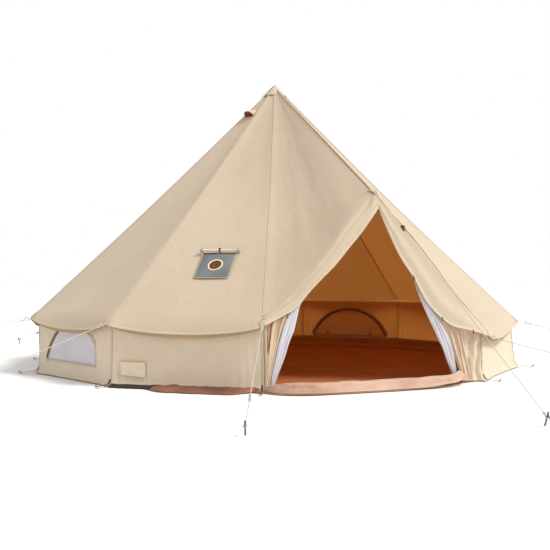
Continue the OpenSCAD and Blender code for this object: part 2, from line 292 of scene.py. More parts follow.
# ---- mesh building ----
class Bin:
    """Collects grids of points and turns them into one mesh."""

    def __init__(self):
        self.verts, self.faces, self.uvs, self.mats, self.count = [], [], [], [], 0

    def grid(self, points, mat=0, wrap=False, uv=None, flip=False, keep=None, cap=False):
        p = np.asarray(points, float)
        rows, cols = p.shape[:2]
        index = self.count + np.arange(rows * cols).reshape(rows, cols)
        if uv is None:
            du = np.linalg.norm(np.diff(p, axis=1), axis=2).mean(0)
            dv = np.linalg.norm(np.diff(p, axis=0), axis=2).mean(1)
            u = np.concatenate([[0], np.cumsum(du), [0]])
            u[-1] = u[-2] + (du.mean() if len(du) else 0)
            v = np.concatenate([[0], np.cumsum(dv)])
            uv = np.stack(np.meshgrid(u, v), -1)
        nxt = np.arange(1, cols + 1)
        used = cols if wrap else cols - 1
        for i in range(rows - 1):
            for j in range(used):
                if keep is not None and not keep[i, j]:
                    continue
                k = nxt[j] % cols
                quad = [index[i, j], index[i, k], index[i + 1, k], index[i + 1, j]]
                loops = [uv[i, j], uv[i, j + 1], uv[i + 1, j + 1], uv[i + 1, j]]
                if flip:
                    quad.reverse()
                    loops.reverse()
                self.faces.append([int(x) for x in quad])
                self.uvs.extend(loops)
                self.mats.append(mat)
        if cap and wrap:
            for row, turn in ((0, True), (rows - 1, False)):
                ring = [int(x) for x in index[row]]
                ring_uv = [uv[row, j] for j in range(cols)]
                if turn != flip:
                    ring.reverse()
                    ring_uv.reverse()
                self.faces.append(ring)
                self.uvs.extend(ring_uv)
                self.mats.append(mat)
        self.verts.append(p.reshape(-1, 3))
        self.count += rows * cols

    def build(self, name, materials, body="tent", slot=None, thick=None, inner=None, merge=None, offset=-1.0):
        mesh = bpy.data.meshes.new(name)
        mesh.from_pydata(np.vstack(self.verts).tolist(), [], self.faces)
        layer = mesh.uv_layers.new(name="metres")
        layer.data.foreach_set("uv", np.asarray(self.uvs, np.float32).reshape(-1))
        mesh.polygons.foreach_set("material_index", np.asarray(self.mats, np.int32))
        mesh.polygons.foreach_set("use_smooth", np.ones(len(mesh.polygons), bool))
        for m in materials:
            mesh.materials.append(m)
        if merge:
            bm = bmesh.new()
            bm.from_mesh(mesh)
            bmesh.ops.remove_doubles(bm, verts=bm.verts, dist=merge)
            loose = [v for v in bm.verts if not v.link_faces]
            bmesh.ops.delete(bm, geom=loose, context="VERTS")
            bm.to_mesh(mesh)
            bm.free()
        mesh.validate()
        mesh.update()
        obj = bpy.data.objects.new(name, mesh)
        scene.collection.objects.link(obj)
        if thick:
            solid = obj.modifiers.new("thickness", "SOLIDIFY")
            solid.thickness = thick
            solid.offset = offset
            solid.use_even_offset = False
            if inner is not None:
                solid.material_offset = inner
                solid.material_offset_rim = 0
        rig.ride(obj, body)
        if slot:
            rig.slot(obj, slot)
        return obj


def frames(path, up=(0, 0, 1)):
    """Tangent, side and normal at each point of a path."""
    p = np.asarray(path, float)
    t = unit(np.gradient(p, axis=0))
    up = np.broadcast_to(np.asarray(up, float), p.shape)
    side = unit(np.cross(t, up))
    return t, side, unit(np.cross(side, t))


def ribbon(bin_, path, normals, width, lift=0.0015, crown=0.0006, mat=0, cols=5, thick=0.0012):
    """A flat band of cloth along a path, closed all round, lifted off what it is sewn to."""
    p = np.asarray(path, float)
    n = unit(np.broadcast_to(np.asarray(normals, float), p.shape))
    t = unit(np.gradient(p, axis=0))
    side = unit(np.cross(n, t))
    across = np.linspace(-0.5, 0.5, cols)
    top = [p + side * width * a + n * (lift + thick + crown * (1 - 4 * a * a)) for a in across]
    low = [p + side * width * a + n * lift for a in across[::-1]]
    ring = np.stack(top + low, 1)
    run = run_along(p)
    v = np.concatenate([(across + 0.5) * width, (across[::-1] + 0.5) * width, [0]])
    uv = np.stack(np.meshgrid(v, run), -1)[:, :, ::-1]
    bin_.grid(ring, mat, wrap=True, uv=uv, flip=True, cap=True)


def tube(bin_, path, radius, sides=12, mat=0, up=(0, 0, 1)):
    """A round bar or rope along a path, closed at its ends."""
    p = np.asarray(path, float)
    r = np.broadcast_to(np.asarray(radius, float), (len(p),))
    _, side, normal = frames(p, up)
    a = np.linspace(0, TAU, sides, endpoint=False)
    ring = [hoop(p[i], side[i], normal[i], r[i], r[i], a) for i in range(len(p))]
    uv = np.stack(np.meshgrid(np.linspace(0, TAU * r.mean(), sides + 1), run_along(p)), -1)
    bin_.grid(np.array(ring), mat, wrap=True, uv=uv, cap=True)


# ---- materials ----
class Look:
    """A procedural material with one Principled shader."""

    def __init__(self, name, rough=0.8, metal=0.0):
        self.mat = bpy.data.materials.new(name)
        self.mat.use_nodes = True
        self.tree = self.mat.node_tree
        self.nodes, self.links = self.tree.nodes, self.tree.links
        self.bsdf = self.nodes["Principled BSDF"]
        self.out = self.nodes["Material Output"]
        self.bsdf.inputs["Roughness"].default_value = rough
        self.bsdf.inputs["Metallic"].default_value = metal
        self.height = None

    def node(self, kind, **values):
        n = self.nodes.new(kind)
        for key, value in values.items():
            if key in n.inputs:
                n.inputs[key].default_value = value
            else:
                setattr(n, key, value)
        return n

    def coords(self, scale=(1, 1, 1), source="Object"):
        tc = self.node("ShaderNodeTexCoord")
        mapping = self.node("ShaderNodeMapping", Scale=scale)
        self.links.new(tc.outputs[source], mapping.inputs["Vector"])
        return mapping.outputs["Vector"]

    def split_uv(self, per_metre=1):
        """The cloth's two coordinates, scaled, each as a socket."""
        split = self.node("ShaderNodeSeparateXYZ")
        self.links.new(self.coords((per_metre, per_metre, 1), "UV"), split.inputs[0])
        return split.outputs

    def noise(self, scale, detail=3.0, vector=None, roughness=0.5, distortion=0.0):
        n = self.node("ShaderNodeTexNoise", Scale=scale, Detail=detail, Roughness=roughness, Distortion=distortion)
        self.links.new(vector or self.coords(), n.inputs["Vector"])
        return n.outputs["Fac"]

    def math(self, operation, a, b=None, c=None):
        n = self.node("ShaderNodeMath", operation=operation)
        for i, x in enumerate((a, b, c)):
            if x is None:
                continue
            if isinstance(x, (int, float)):
                n.inputs[i].default_value = x
            else:
                self.links.new(x, n.inputs[i])
        return n.outputs[0]

    def ramp(self, fac, stops):
        n = self.node("ShaderNodeValToRGB")
        elements = n.color_ramp.elements
        while len(elements) < len(stops):
            elements.new(0.5)
        for e, (pos, colour) in zip(elements, stops):
            e.position = pos
            e.color = (*colour, 1)
        self.links.new(fac, n.inputs["Fac"])
        return n.outputs["Color"]

    def mix(self, fac, a, b, blend="MIX"):
        n = self.node("ShaderNodeMix", data_type="RGBA", blend_type=blend)
        for socket, x in ((n.inputs[0], fac), (n.inputs[6], a), (n.inputs[7], b)):
            if isinstance(x, (int, float)):
                socket.default_value = x
            elif isinstance(x, tuple):
                socket.default_value = (*x, 1)
            else:
                self.links.new(x, socket)
        return n.outputs[2]

    def colour(self, socket):
        self.links.new(socket, self.bsdf.inputs["Base Color"])
        return self

    def rough(self, socket):
        self.links.new(socket, self.bsdf.inputs["Roughness"])
        return self

    def bump(self, height, strength=0.3, distance=0.002):
        b = self.node("ShaderNodeBump", Strength=strength, Distance=distance)
        self.links.new(height, b.inputs["Height"])
        if self.height is not None:
            self.links.new(self.height, b.inputs["Normal"])
        self.height = b.outputs["Normal"]
        self.links.new(self.height, self.bsdf.inputs["Normal"])
        return self

    def weave(self, per_metre, strength=0.25, distance=0.0006):
        """Over-and-under threads, from the cloth's own coordinates in metres."""
        a, b = (self.math("SINE", self.math("MULTIPLY", way, TAU)) for way in self.split_uv(per_metre)[:2])
        self.bump(self.math("MULTIPLY", a, b), strength, distance)
        return self

    def translucent(self, colour, share):
        t = self.node("ShaderNodeBsdfTranslucent")
        if isinstance(colour, tuple):
            t.inputs["Color"].default_value = (*colour, 1)
        else:
            self.links.new(colour, t.inputs["Color"])
        m = self.node("ShaderNodeMixShader")
        m.inputs[0].default_value = share
        self.links.new(self.bsdf.outputs[0], m.inputs[1])
        self.links.new(t.outputs[0], m.inputs[2])
        self.links.new(m.outputs[0], self.out.inputs["Surface"])
        return self

    def stitches(self, rows, base, thread):
        """Rows of thread at these distances across the band, over a base colour."""
        pitch, stitch_share, half_thread = 0.006, 0.7, 0.0009
        along, across, _ = self.split_uv()
        dash = self.math("LESS_THAN", self.math("FRACT", self.math("DIVIDE", along, pitch)), stitch_share)
        line = None
        for row in rows:
            near = self.math("LESS_THAN", self.math("ABSOLUTE", self.math("SUBTRACT", across, row)), half_thread)
            line = near if line is None else self.math("MAXIMUM", line, near)
        mask = self.math("MULTIPLY", dash, line)
        self.bump(mask, 0.5, 0.0008)
        return self.mix(mask, base, thread)


def canvas(name, light, dark, thread, share, through, wrinkle=0.35, rows=()):
    """Cotton cloth: a share of the light passes through it, tinted, and rows are lines of stitching."""
    look = Look(name, rough=0.86)
    look.bsdf.inputs["Sheen Weight"].default_value = 0.12
    look.bsdf.inputs["Sheen Roughness"].default_value = 0.5
    wide = look.noise(0.9, 4.0, look.coords((1, 1, 0.6)))
    fine = look.noise(34.0, 4.0)
    base = look.ramp(wide, [(0.3, dark), (0.62, light)])
    base = look.mix(look.math("MULTIPLY", fine, 0.22), base, thread, "MULTIPLY")
    slub = look.noise(3.0, 5.0, look.coords((9, 160, 1), "UV"), 0.65)
    base = look.mix(look.math("MULTIPLY", slub, 0.10), base, thread)
    if rows:
        base = look.stitches(rows, base, tuple(0.55 * x for x in dark))
    look.colour(base)
    look.bump(look.noise(5.5, 5.0, look.coords((1, 1, 0.8)), 0.55, 0.6), wrinkle, 0.02)
    look.bump(look.noise(28.0, 4.0, None, 0.6, 0.4), 0.25, 0.003)
    look.weave(900.0, 0.35, 0.0004)
    look.translucent(through, share)
    return look.mat


CREAM, CREAM_DARK, THREAD = (0.765, 0.69, 0.53), (0.70, 0.62, 0.465), (0.60, 0.50, 0.36)
GLOW = (0.96, 0.62, 0.29)
canvas_out = canvas("canvas_outer", CREAM, CREAM_DARK, THREAD, 0.28, GLOW)
# painted light: the inner face is the same canvas as the outside, coloured orange for the glow of light through it,
# beside the light that really passes through
canvas_in_painted_glow = canvas("canvas_inner_painted_glow", (0.86, 0.57, 0.28), (0.77, 0.49, 0.22), (0.54, 0.32, 0.13), 0.52, GLOW)
# painted light: the walls' cloth is the roof's canvas, coloured lighter to stand for light that the walls lack
canvas_wall_painted_light = canvas("canvas_wall_painted_light", (0.95, 0.87, 0.69), (0.88, 0.79, 0.61), THREAD, 0.28, GLOW, wrinkle=0.55)
canvas_leaf = canvas("canvas_leaf", (0.88, 0.75, 0.56), (0.74, 0.58, 0.40), THREAD, 0.25, GLOW, wrinkle=0.6)
canvas_seam = canvas("canvas_seam", (0.79, 0.71, 0.55), (0.73, 0.64, 0.48), THREAD, 0.25, GLOW, rows=(0.003, 0.013))
canvas_band = canvas("canvas_band", (0.78, 0.70, 0.54), (0.70, 0.61, 0.46), THREAD, 0.2, GLOW, rows=(0.004, 0.026))
canvas_roll = canvas("canvas_roll", (0.84, 0.76, 0.62), (0.72, 0.62, 0.48), THREAD, 0.1, GLOW, wrinkle=0.9)
# painted light: the closed covers' orange is the glow of light through them, painted into their colour
canvas_cover_painted_glow = canvas("canvas_cover_painted_glow", (0.78, 0.47, 0.20), (0.70, 0.40, 0.16), (0.50, 0.28, 0.11), 0.72,
                      (1.0, 0.66, 0.32))


def coated(name, light, dark, rough, scale=12.0):
    """Coated cloth or webbing."""
    look = Look(name, rough=rough)
    look.colour(look.ramp(look.noise(2.2, 5.0), [(0.3, dark), (0.7, light)]))
    look.bump(look.noise(scale, 5.0, None, 0.6, 0.5), 0.35, 0.006)
    look.weave(500.0, 0.3, 0.0005)
    return look


ground_look = coated("groundsheet", (0.48, 0.165, 0.045), (0.36, 0.115, 0.029), 0.85)
tub_look = coated("groundsheet_edge", (0.56, 0.23, 0.050), (0.44, 0.165, 0.032), 0.85)
skirt_look = coated("groundsheet_skirt", (0.045, 0.030, 0.026), (0.02, 0.014, 0.012), 0.6)
loose_look = coated("groundsheet_loose_edge", (0.36, 0.15, 0.085), (0.11, 0.032, 0.018), 0.55, 18.0)
# painted shadow: the tan-brown of the strip under the eave, which stands for the eave's shadow on the wall
eave_shadow_look = coated("eave_painted_shadow", (0.50, 0.355, 0.205), (0.42, 0.29, 0.16), 1.0)
# painted shade: a dark brown for the openings, the stove jack's hole and the vent mouths, where the dim inside shows
opening_shade_look = coated("opening_painted_shade", (0.19, 0.050, 0.010), (0.11, 0.026, 0.006), 1.0)
brown_tape = coated("brown_tape", (0.30, 0.13, 0.05), (0.20, 0.08, 0.03), 0.75, 40.0)
sill_look = coated("sill", (0.69, 0.475, 0.355), (0.43, 0.23, 0.15), 0.55, 7.0)
jack_look = coated("jack_cloth", (0.205, 0.22, 0.205), (0.09, 0.105, 0.12), 0.6, 20.0)
webbing_look = coated("webbing", (0.50, 0.41, 0.28), (0.38, 0.30, 0.20), 0.8, 60.0)
dark_webbing = coated("dark_webbing", (0.07, 0.055, 0.045), (0.03, 0.025, 0.02), 0.75, 60.0)

piping_look = canvas("piping", (0.86, 0.79, 0.66), (0.78, 0.70, 0.56), THREAD, 0.05, (0.80, 0.45, 0.17), rows=(0.003,))


def netting():
    look = Look("insect_mesh", rough=0.7)
    waves = [look.math("SINE", look.math("MULTIPLY", way, TAU)) for way in look.split_uv(420.0)[:2]]
    thread = look.math("MAXIMUM", *(look.math("GREATER_THAN", wave, 0.1) for wave in waves))
    look.colour(look.mix(look.noise(4.0, 4.0), (0.74, 0.73, 0.77), (0.86, 0.85, 0.89)))
    look.bump(look.noise(9.0, 4.0, None, 0.5, 0.6), 0.5, 0.012)
    look.bump(thread, 0.4, 0.0004)
    look.translucent((0.92, 0.90, 0.93), 0.35)
    return look.mat


mesh_look = netting()


def metal(name, light, dark, rough, scale=30.0):
    look = Look(name, rough=rough, metal=1.0)
    grain = look.noise(scale, 6.0, look.coords((1, 1, 0.25)), 0.6)
    look.colour(look.ramp(grain, [(0.35, dark), (0.65, light)]))
    look.rough(look.math("ADD", look.math("MULTIPLY", grain, 0.25), rough - 0.12))
    look.bump(look.noise(scale * 6, 3.0), 0.12, 0.0004)
    return look.mat


def plastic(name, light, dark, rough):
    look = Look(name, rough=rough)
    look.colour(look.ramp(look.noise(25.0, 4.0), [(0.3, dark), (0.7, light)]))
    look.bump(look.noise(300.0, 2.0), 0.15, 0.0003)
    return look.mat


steel_pole = metal("galvanised_pole", (0.66, 0.67, 0.69), (0.48, 0.49, 0.51), 0.38)
# a cloth sleeve on the door poles, its dark olive-brown painted shade, the colour of the shaded strip inside the
# door's hem
pole_sleeve_shade_look = coated("pole_sleeve_painted_shade", (0.33, 0.24, 0.13), (0.22, 0.15, 0.08), 0.85, 30.0)
peg_steel = metal("peg_steel", (0.20, 0.21, 0.22), (0.10, 0.10, 0.11), 0.5, 60.0)
ring_steel = metal("ring_steel", (0.60, 0.61, 0.63), (0.42, 0.43, 0.45), 0.3, 60.0)
runner_alu = metal("runner_aluminium", (0.56, 0.58, 0.59), (0.42, 0.44, 0.45), 0.42, 80.0)
zip_brass = metal("zip_brass", (0.52, 0.37, 0.17), (0.30, 0.2, 0.09), 0.4, 120.0)
black_plastic = plastic("black_plastic", (0.05, 0.05, 0.052), (0.03, 0.03, 0.03), 0.5)
runner_brown = plastic("runner_brown", (0.10, 0.03, 0.02), (0.05, 0.015, 0.012), 0.35)
toggle_wood = plastic("toggle_wood", (0.11, 0.065, 0.035), (0.05, 0.03, 0.02), 0.6)
zip_tape = coated("zip_tape", (0.055, 0.032, 0.020), (0.03, 0.018, 0.012), 0.7, 60.0)


def rope_material():
    look = Look("rope", rough=0.8)
    along, around_it, _ = look.split_uv()
    twist = look.math("ADD", look.math("MULTIPLY", along, 160.0), look.math("MULTIPLY", around_it, 110.0))
    strand = look.math("SINE", look.math("MULTIPLY", twist, TAU))
    look.colour(look.mix(look.math("MULTIPLY_ADD", strand, 0.5, 0.5), (0.50, 0.46, 0.38), (0.74, 0.71, 0.63)))
    look.bump(strand, 0.6, 0.0008)
    return look.mat


rope_look = rope_material()


def dress(node, *materials):
    """Gives a CAD node, which keeps its shape, its procedural material."""
    obj = frame["nodes"][node]
    obj.data.materials.clear()
    for m in materials:
        obj.data.materials.append(m)
    obj.data.polygons.foreach_set("material_index", np.zeros(len(obj.data.polygons), np.int32))


# ---- guylines: each runs straight from its ring to its peg ----
RING_OUT = 0.054  # from the hem corner to the middle of its ring
PEG_LEAN = math.radians(20)
GRIP_UP = 0.060  # up the peg from the ground to its rope


def guy_ends(k):
    if k < CORNERS:
        z = HEM_Z - DROP.get(k, 0)
        return corner(k, HEM_R + RING_OUT, z - 0.014), corner(k, PEG_R + 0.008, 0.062)
    return np.array([0, -2.254, 1.616]), np.array([0, -4.383, 0.066])


def guyline(k):
    top, foot = guy_ends(k)
    path = np.linspace(top, foot, 30)
    curve = bpy.data.curves.new(f"guyline_{k + 1}_rope", "CURVE")
    curve.dimensions = "3D"
    curve.bevel_depth = ROPE_D / 2
    curve.bevel_resolution = 3
    curve.use_fill_caps = True
    line = curve.splines.new("POLY")
    line.points.add(len(path) - 1)
    line.points.foreach_set("co", np.hstack([path, np.ones((len(path), 1))]).reshape(-1))
    obj = bpy.data.objects.new(f"guyline_{k + 1}_rope", curve)
    scene.collection.objects.link(obj)
    curve.materials.append(rope_look)
    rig.ride(obj, "tent")
    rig.slot(obj, "rope")
    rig.replaces(obj, f"guyline_{k + 1}")
    length = float(np.linalg.norm(foot - top))
    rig.cord(obj, exit=top.tolist(), length=round(length, 3), diameter=ROPE_D, far_end="object",
            stiffness="limp", lay="taut")


def rope_knots():
    """The loop and knot at each ring and the loop round each peg."""
    b = Bin()
    turn = np.linspace(0, TAU, 25)
    for k in range(CORNERS + 1):
        top, foot = guy_ends(k)
        d = unit(foot - top)
        side = unit(np.cross(d, (0, 0, 1)))
        up = np.cross(side, d)
        c = top - d * 0.006
        tube(b, hoop(c, d, side, 0.010, 0.0075, turn), 0.0028, 8, up=up)
        at_ring = [(top, at, rad) for at, rad in ((0.012, 0.0062), (0.019, 0.0066), (0.026, 0.0060))]
        at_peg = [(foot, at, 0.0060) for at in (-0.010, -0.017, -0.024)]
        for end, at, rad in at_ring + at_peg:
            climb = np.outer((turn / math.pi - 1) * 0.003, d)
            tube(b, hoop(end + d * at, side, up, rad, rad, turn) + climb, 0.0027, 8, up=d)
        axis = unit(np.array([foot[0], foot[1], 0]))
        peg_dir = unit(axis * math.sin(PEG_LEAN) + np.array([0, 0, math.cos(PEG_LEAN)]))
        centre = axis * PEG_R + peg_dir * GRIP_UP
        a1 = unit(np.cross(peg_dir, side))
        tube(b, hoop(centre, a1, side, 0.0125, 0.0125, turn), 0.0029, 8, up=peg_dir)
    b.build("rope_knots", [rope_look], slot="rope")


for number in range(CORNERS + 1):
    guyline(number)
rope_knots()

# ---- canopy: ten gores and the door canopy, as one sheet ----
APEX = np.array([0.0, 0.0, 2.972])
GORE_COLS, DOOR_COLS, MAIN_ROWS, HEM_ROWS = 18, 34, 64, 9


def wall_line(k):
    return corner(k, WALL_R - PULL.get(k, 0), WALL_Z - 0.8 * DROP.get(k, 0))


def hem_tip(k):
    return corner(k, HEM_R - PULL.get(k, 0), HEM_Z - DROP.get(k, 0))


# The door canopy's lines from the tip down each side: where its cloth leaves the roof, and its free edge
OUTER_RIGHT = [TIP, (0.36, -2.245, 1.262), (0.70, -2.27, 0.86), (0.92, -2.275, 0.615), wall_line(0)]
OUTER_LEFT = [
    TIP, (-0.255, -2.238, 1.384), (-0.468, -2.258, 1.125), (-0.73, -2.275, 0.845), (-0.92, -2.275, 0.68),
    wall_line(CORNERS - 1),
]
INNER_RIGHT = [
    (0.045, -2.215, 1.508), (0.13, -2.225, 1.30), (0.226, -2.245, 1.097), (0.344, -2.265, 0.918),
    (0.489, -2.295, 0.672), (0.63, -2.32, 0.535), (0.72, -2.338, 0.482), (0.80, -2.350, 0.467),
    (0.95, -2.358, 0.432), hem_tip(0),
]
INNER_LEFT = [
    (0.045, -2.215, 1.508), (-0.132, -2.235, 1.291), (-0.27, -2.248, 1.145), (-0.395, -2.26, 1.012),
    (-0.53, -2.275, 0.893), (-0.653, -2.29, 0.781), (-0.771, -2.31, 0.662), (-0.90, -2.335, 0.602),
    (-1.0, -2.345, 0.558), hem_tip(CORNERS - 1),
]


def roof_columns():
    """For each column round the tent: where it meets the wall line, its hem, its outward normal, its share
    across its own panel, and whether it is part of a gore or of the door canopy."""
    line, hem = spline(OUTER_RIGHT, DOOR_COLS + 1), spline(INNER_RIGHT, DOOR_COLS + 1)
    n = unit(np.cross(TIP - APEX, wall_line(0) - APEX))
    cols = [(line[i], hem[i], n, i / DOOR_COLS, "door") for i in range(DOOR_COLS)]
    for k in range(CORNERS - 1):
        a, b = wall_line(k), wall_line(k + 1)
        ha, hb = hem_tip(k), hem_tip(k + 1)
        n = unit(np.cross(a - APEX, b - APEX))
        out = unit(np.array([n[0], n[1], 0]))
        for i in range(GORE_COLS):
            f = i / GORE_COLS
            belly = 4 * f * (1 - f)
            line = a + (b - a) * f - out * 0.012 * belly
            hem = ha + (hb - ha) * f
            lean = 0.75 + 0.35 * float(noise(k * 3.1, f * 2.0, 5))
            hem = hem - out * 0.030 * belly * lean + np.array([0, 0, -0.078 * belly**0.8])
            hem = hem + out * 0.007 * float(noise(k * 7 + f * 6, 0.3, 9)) * belly
            cols.append((line, hem, n, f, "gore"))
    line, hem = spline(OUTER_LEFT, DOOR_COLS + 1)[::-1], spline(INNER_LEFT, DOOR_COLS + 1)[::-1]
    n = unit(np.cross(wall_line(CORNERS - 1) - APEX, TIP - APEX))
    for i in range(DOOR_COLS + 1):
        cols.append((line[i], hem[i], n, i / DOOR_COLS, "door"))
    return cols


COLS = roof_columns()


def roof_grid():
    line = np.array([c[0] for c in COLS])
    hem = np.array([c[1] for c in COLS])
    normal = np.array([c[2] for c in COLS])
    share = np.array([c[3] for c in COLS])
    gore = np.array([c[4] == "gore" for c in COLS])
    level = unit(np.stack([line[:, 0], line[:, 1], 0 * line[:, 0]], 1))
    start = APEX + level * 0.03 - np.array([0, 0, 0.02])
    belly = 4 * share * (1 - share)
    column = np.arange(len(COLS))
    place_k = (column - DOOR_COLS) / GORE_COLS
    at_corner = [SLACK.get(k, OTHER_SLACK) for k in range(CORNERS)]
    slack = np.interp(place_k, np.arange(CORNERS), at_corner)
    before, after = column < DOOR_COLS, column > DOOR_COLS + GORE_COLS * (CORNERS - 1)
    slack = np.where(before, share * at_corner[0], np.where(after, (1 - share) * at_corner[-1], slack))
    rows = []
    for t in np.linspace(0, 1, MAIN_ROWS) ** 1.1:
        p = start + (line - start) * t
        seam = slack * math.sin(math.pi * t**1.15)
        middle = belly * (0.018 * math.sin(math.pi * t**0.9) + 0.004)
        wave = 0.010 * folds(column * 0.16, t * 3.2, 3) * t**0.7 * belly
        ripple = 0.0035 * folds(column * 0.55, t * 9.0, 11) * t * (0.3 + belly)
        rows.append(p - normal * (seam + middle - wave - ripple)[:, None])
    line_now = rows[-1]
    for w in np.linspace(0, 1, HEM_ROWS + 1)[1:]:
        p = line_now + (hem - line_now) * w
        bulge = np.where(gore, 0.010, 0.016) * math.sin(math.pi * w)
        flutter = 0.006 * folds(column * 0.4, w * 1.2, 21) * w * belly
        relief = 0.010 * math.cos(TAU * w * 1.5) * math.sin(math.pi * w)
        relief = relief + 0.007 * folds(column * 0.22, w * 2.2, 23)
        out_by = np.where(gore, bulge + flutter, 0.5 * bulge + relief * belly**0.4)
        rows.append(p + level * out_by[:, None])
    return np.array(rows)


ROOF = roof_grid()
roof = Bin()
roof.grid(ROOF, 0, flip=True)
# the roof's inner face takes the orange of painted glow
roof_sheet = roof.build("roof_sheet", [canvas_out, canvas_in_painted_glow], slot="canvas", thick=0.0018, inner=1, merge=0.0006)
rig.replaces(roof_sheet, "roof_canvas", "door_canopy")
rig.sheet(roof_sheet, flat=(9.0, 3.55), held="stretched", area=28.5,
         rests_on=["centre_pole_top", "door_pole_left", "door_pole_right"])


def column_of(k):
    """The roof grid's column at a corner."""
    return DOOR_COLS + k * GORE_COLS


def roof_normals():
    """The outward normal at each point of the roof grid."""
    n = unit(np.cross(np.gradient(ROOF, axis=1), np.gradient(ROOF, axis=0)))
    return -n if (n[MAIN_ROWS // 2, :, 2] < 0).mean() > 0.5 else n


ROOF_N = roof_normals()

seams = Bin()
for k in range(CORNERS):
    c = column_of(k)
    n = unit(ROOF_N[:, max(c - 1, 0)] + ROOF_N[:, min(c + 1, len(COLS) - 1)])
    ribbon(seams, ROOF[2:, c], n[2:], 0.014, lift=0.0001, thick=0.0007)
ridge_n = unit(ROOF_N[:, 1] + ROOF_N[:, -2])
ribbon(seams, ROOF[2:MAIN_ROWS, 0], ridge_n[2:MAIN_ROWS], 0.018, lift=0.0006)
seams.build("roof_seams", [canvas_seam], slot="canvas")

hems = Bin()
last = ROOF.shape[0] - 1
gore_slice = slice(DOOR_COLS, DOOR_COLS + GORE_COLS * (CORNERS - 1) + 1)
edge = ROOF[last, gore_slice] + (ROOF[last - 1, gore_slice] - ROOF[last, gore_slice]) * 0.6
ribbon(hems, edge, ROOF_N[last, gore_slice], 0.022, lift=0.0004, cols=5)
# painted shadow: a narrow tan-brown strip that hangs just inside the hem, standing for the shadow that the eave casts
# on the top of the wall
eave = ROOF[last, gore_slice]
eave_out = unit(eave * LEVEL)
fade = np.sin(math.pi * (np.arange(len(eave)) % GORE_COLS) / GORE_COLS) ** 0.5
strip_top = eave - eave_out * 0.016 + np.array([0, 0, 0.02])
strip = np.stack([strip_top - np.outer(q * (0.030 + 0.020 * fade), (0, 0, 1)) for q in (0, 0.5, 1.0)])
hems.grid(strip, 2)
for side in (slice(0, DOOR_COLS + 1), slice(DOOR_COLS + GORE_COLS * (CORNERS - 1), len(COLS))):
    inner_edge = ROOF[last, side]
    outer_edge = ROOF[MAIN_ROWS - 1, side]
    inward = unit(outer_edge - inner_edge)
    normal = unit(ROOF_N[last, side])
    front = np.where(normal[:, 1:2] > 0, -normal, normal)
    ribbon(hems, inner_edge + inward * 0.014, front, 0.026, lift=0.0015, cols=5)
    left = outer_edge[:, 0].mean() < 0
    if left:
        third = ROOF[MAIN_ROWS - 1 + 3, side]
        ribbon(hems, third, front, 0.010, lift=0.003, crown=0.002, cols=5)
    keep = np.linalg.norm(outer_edge - inner_edge, axis=1) > 0.03
    ribbon(hems, outer_edge[keep] + inward[keep] * -0.006, front[keep], 0.009, lift=0.004, crown=0.003, mat=0)
hems.build("hem_bands", [canvas_band, webbing_look.mat, eave_shadow_look.mat], slot="canvas")

# ---- walls ----
WALL_COLS, WALL_ROWS = 64, 34
PERIMETER = 2 * PANEL_HALF


def wall_top(k, f):
    a, b = wall_line(k)[2], wall_line(k + 1)[2]
    return a + (b - a) * f - 0.004


def wall_bulge(k, f, z, h):
    """How far the slack wall stands out at a place, in metres."""
    s = (k + f) * PERIMETER
    down = np.clip(1 - z / h, 0, 1)
    at_corner = np.minimum(f, 1 - f) * PERIMETER
    near = np.exp(-((at_corner / 0.16) ** 2))
    flare = 0.045 * np.exp(-z / 0.035) * (0.55 + 0.45 * near)
    soft = 0.013 * folds(s * 4.2, z * 2.0 + 3.0, 31) * smooth01(down * 1.6)
    small = 0.005 * folds(s * 13.0, z * 5.0, 41) * down
    tuck = -0.020 * smooth01(1 - (h - z) / 0.10)
    gather = 0.009 * near * np.sin(s * TAU / 0.075 + 4 * z) * (0.4 + 0.6 * down)
    belly = -0.014 * 4 * f * (1 - f) * np.sin(math.pi * np.clip(z / h, 0, 1))
    lean = -np.interp(k + f, np.arange(CORNERS), [PULL.get(c, 0) for c in range(CORNERS)]) * np.clip(z / h, 0, 1)
    calm = 1.0
    if k in WINDOW_PANELS:
        # the cloth lies flat along a window's arch, so that the zip slider runs clear of it
        off_arch = np.hypot((0.5 - f) * PERIMETER, z - ARCH_Z) - ARCH_R
        calm = 1 - 0.9 * np.exp(-((off_arch / 0.05) ** 2)) * smooth01((z - ARCH_BASE) / 0.04 + 1)
    loose = soft + small + gather * (1 - np.exp(-at_corner / 0.03)) + belly
    return flare + calm * loose + tuck + lean


def wall_point(k, f, z, out=0.0):
    """A point on wall panel k, at a share f of the way to the next corner, at a height, this far outside the cloth."""
    f, z = np.broadcast_arrays(np.asarray(f, float), np.asarray(z, float))
    a, b = corner(k, WALL_R, 0), corner(k + 1, WALL_R, 0)
    base = a + (b - a) * f[..., None]
    level = unit(base * LEVEL)
    h = wall_top(k, f)
    p = base + level * (wall_bulge(k, f, z, h) + out)[..., None]
    p[..., 2] = z
    return p


def window_stop(k):
    """One window is still zipped shut along one side: this far from the middle, its cover's edge hangs straight."""
    return -19 * PERIMETER / WALL_COLS if k == 8 else -1.0


def arch_f(x):
    """The share across a panel for a distance x from its middle, positive towards the lower corner number."""
    return 0.5 - x / PERIMETER


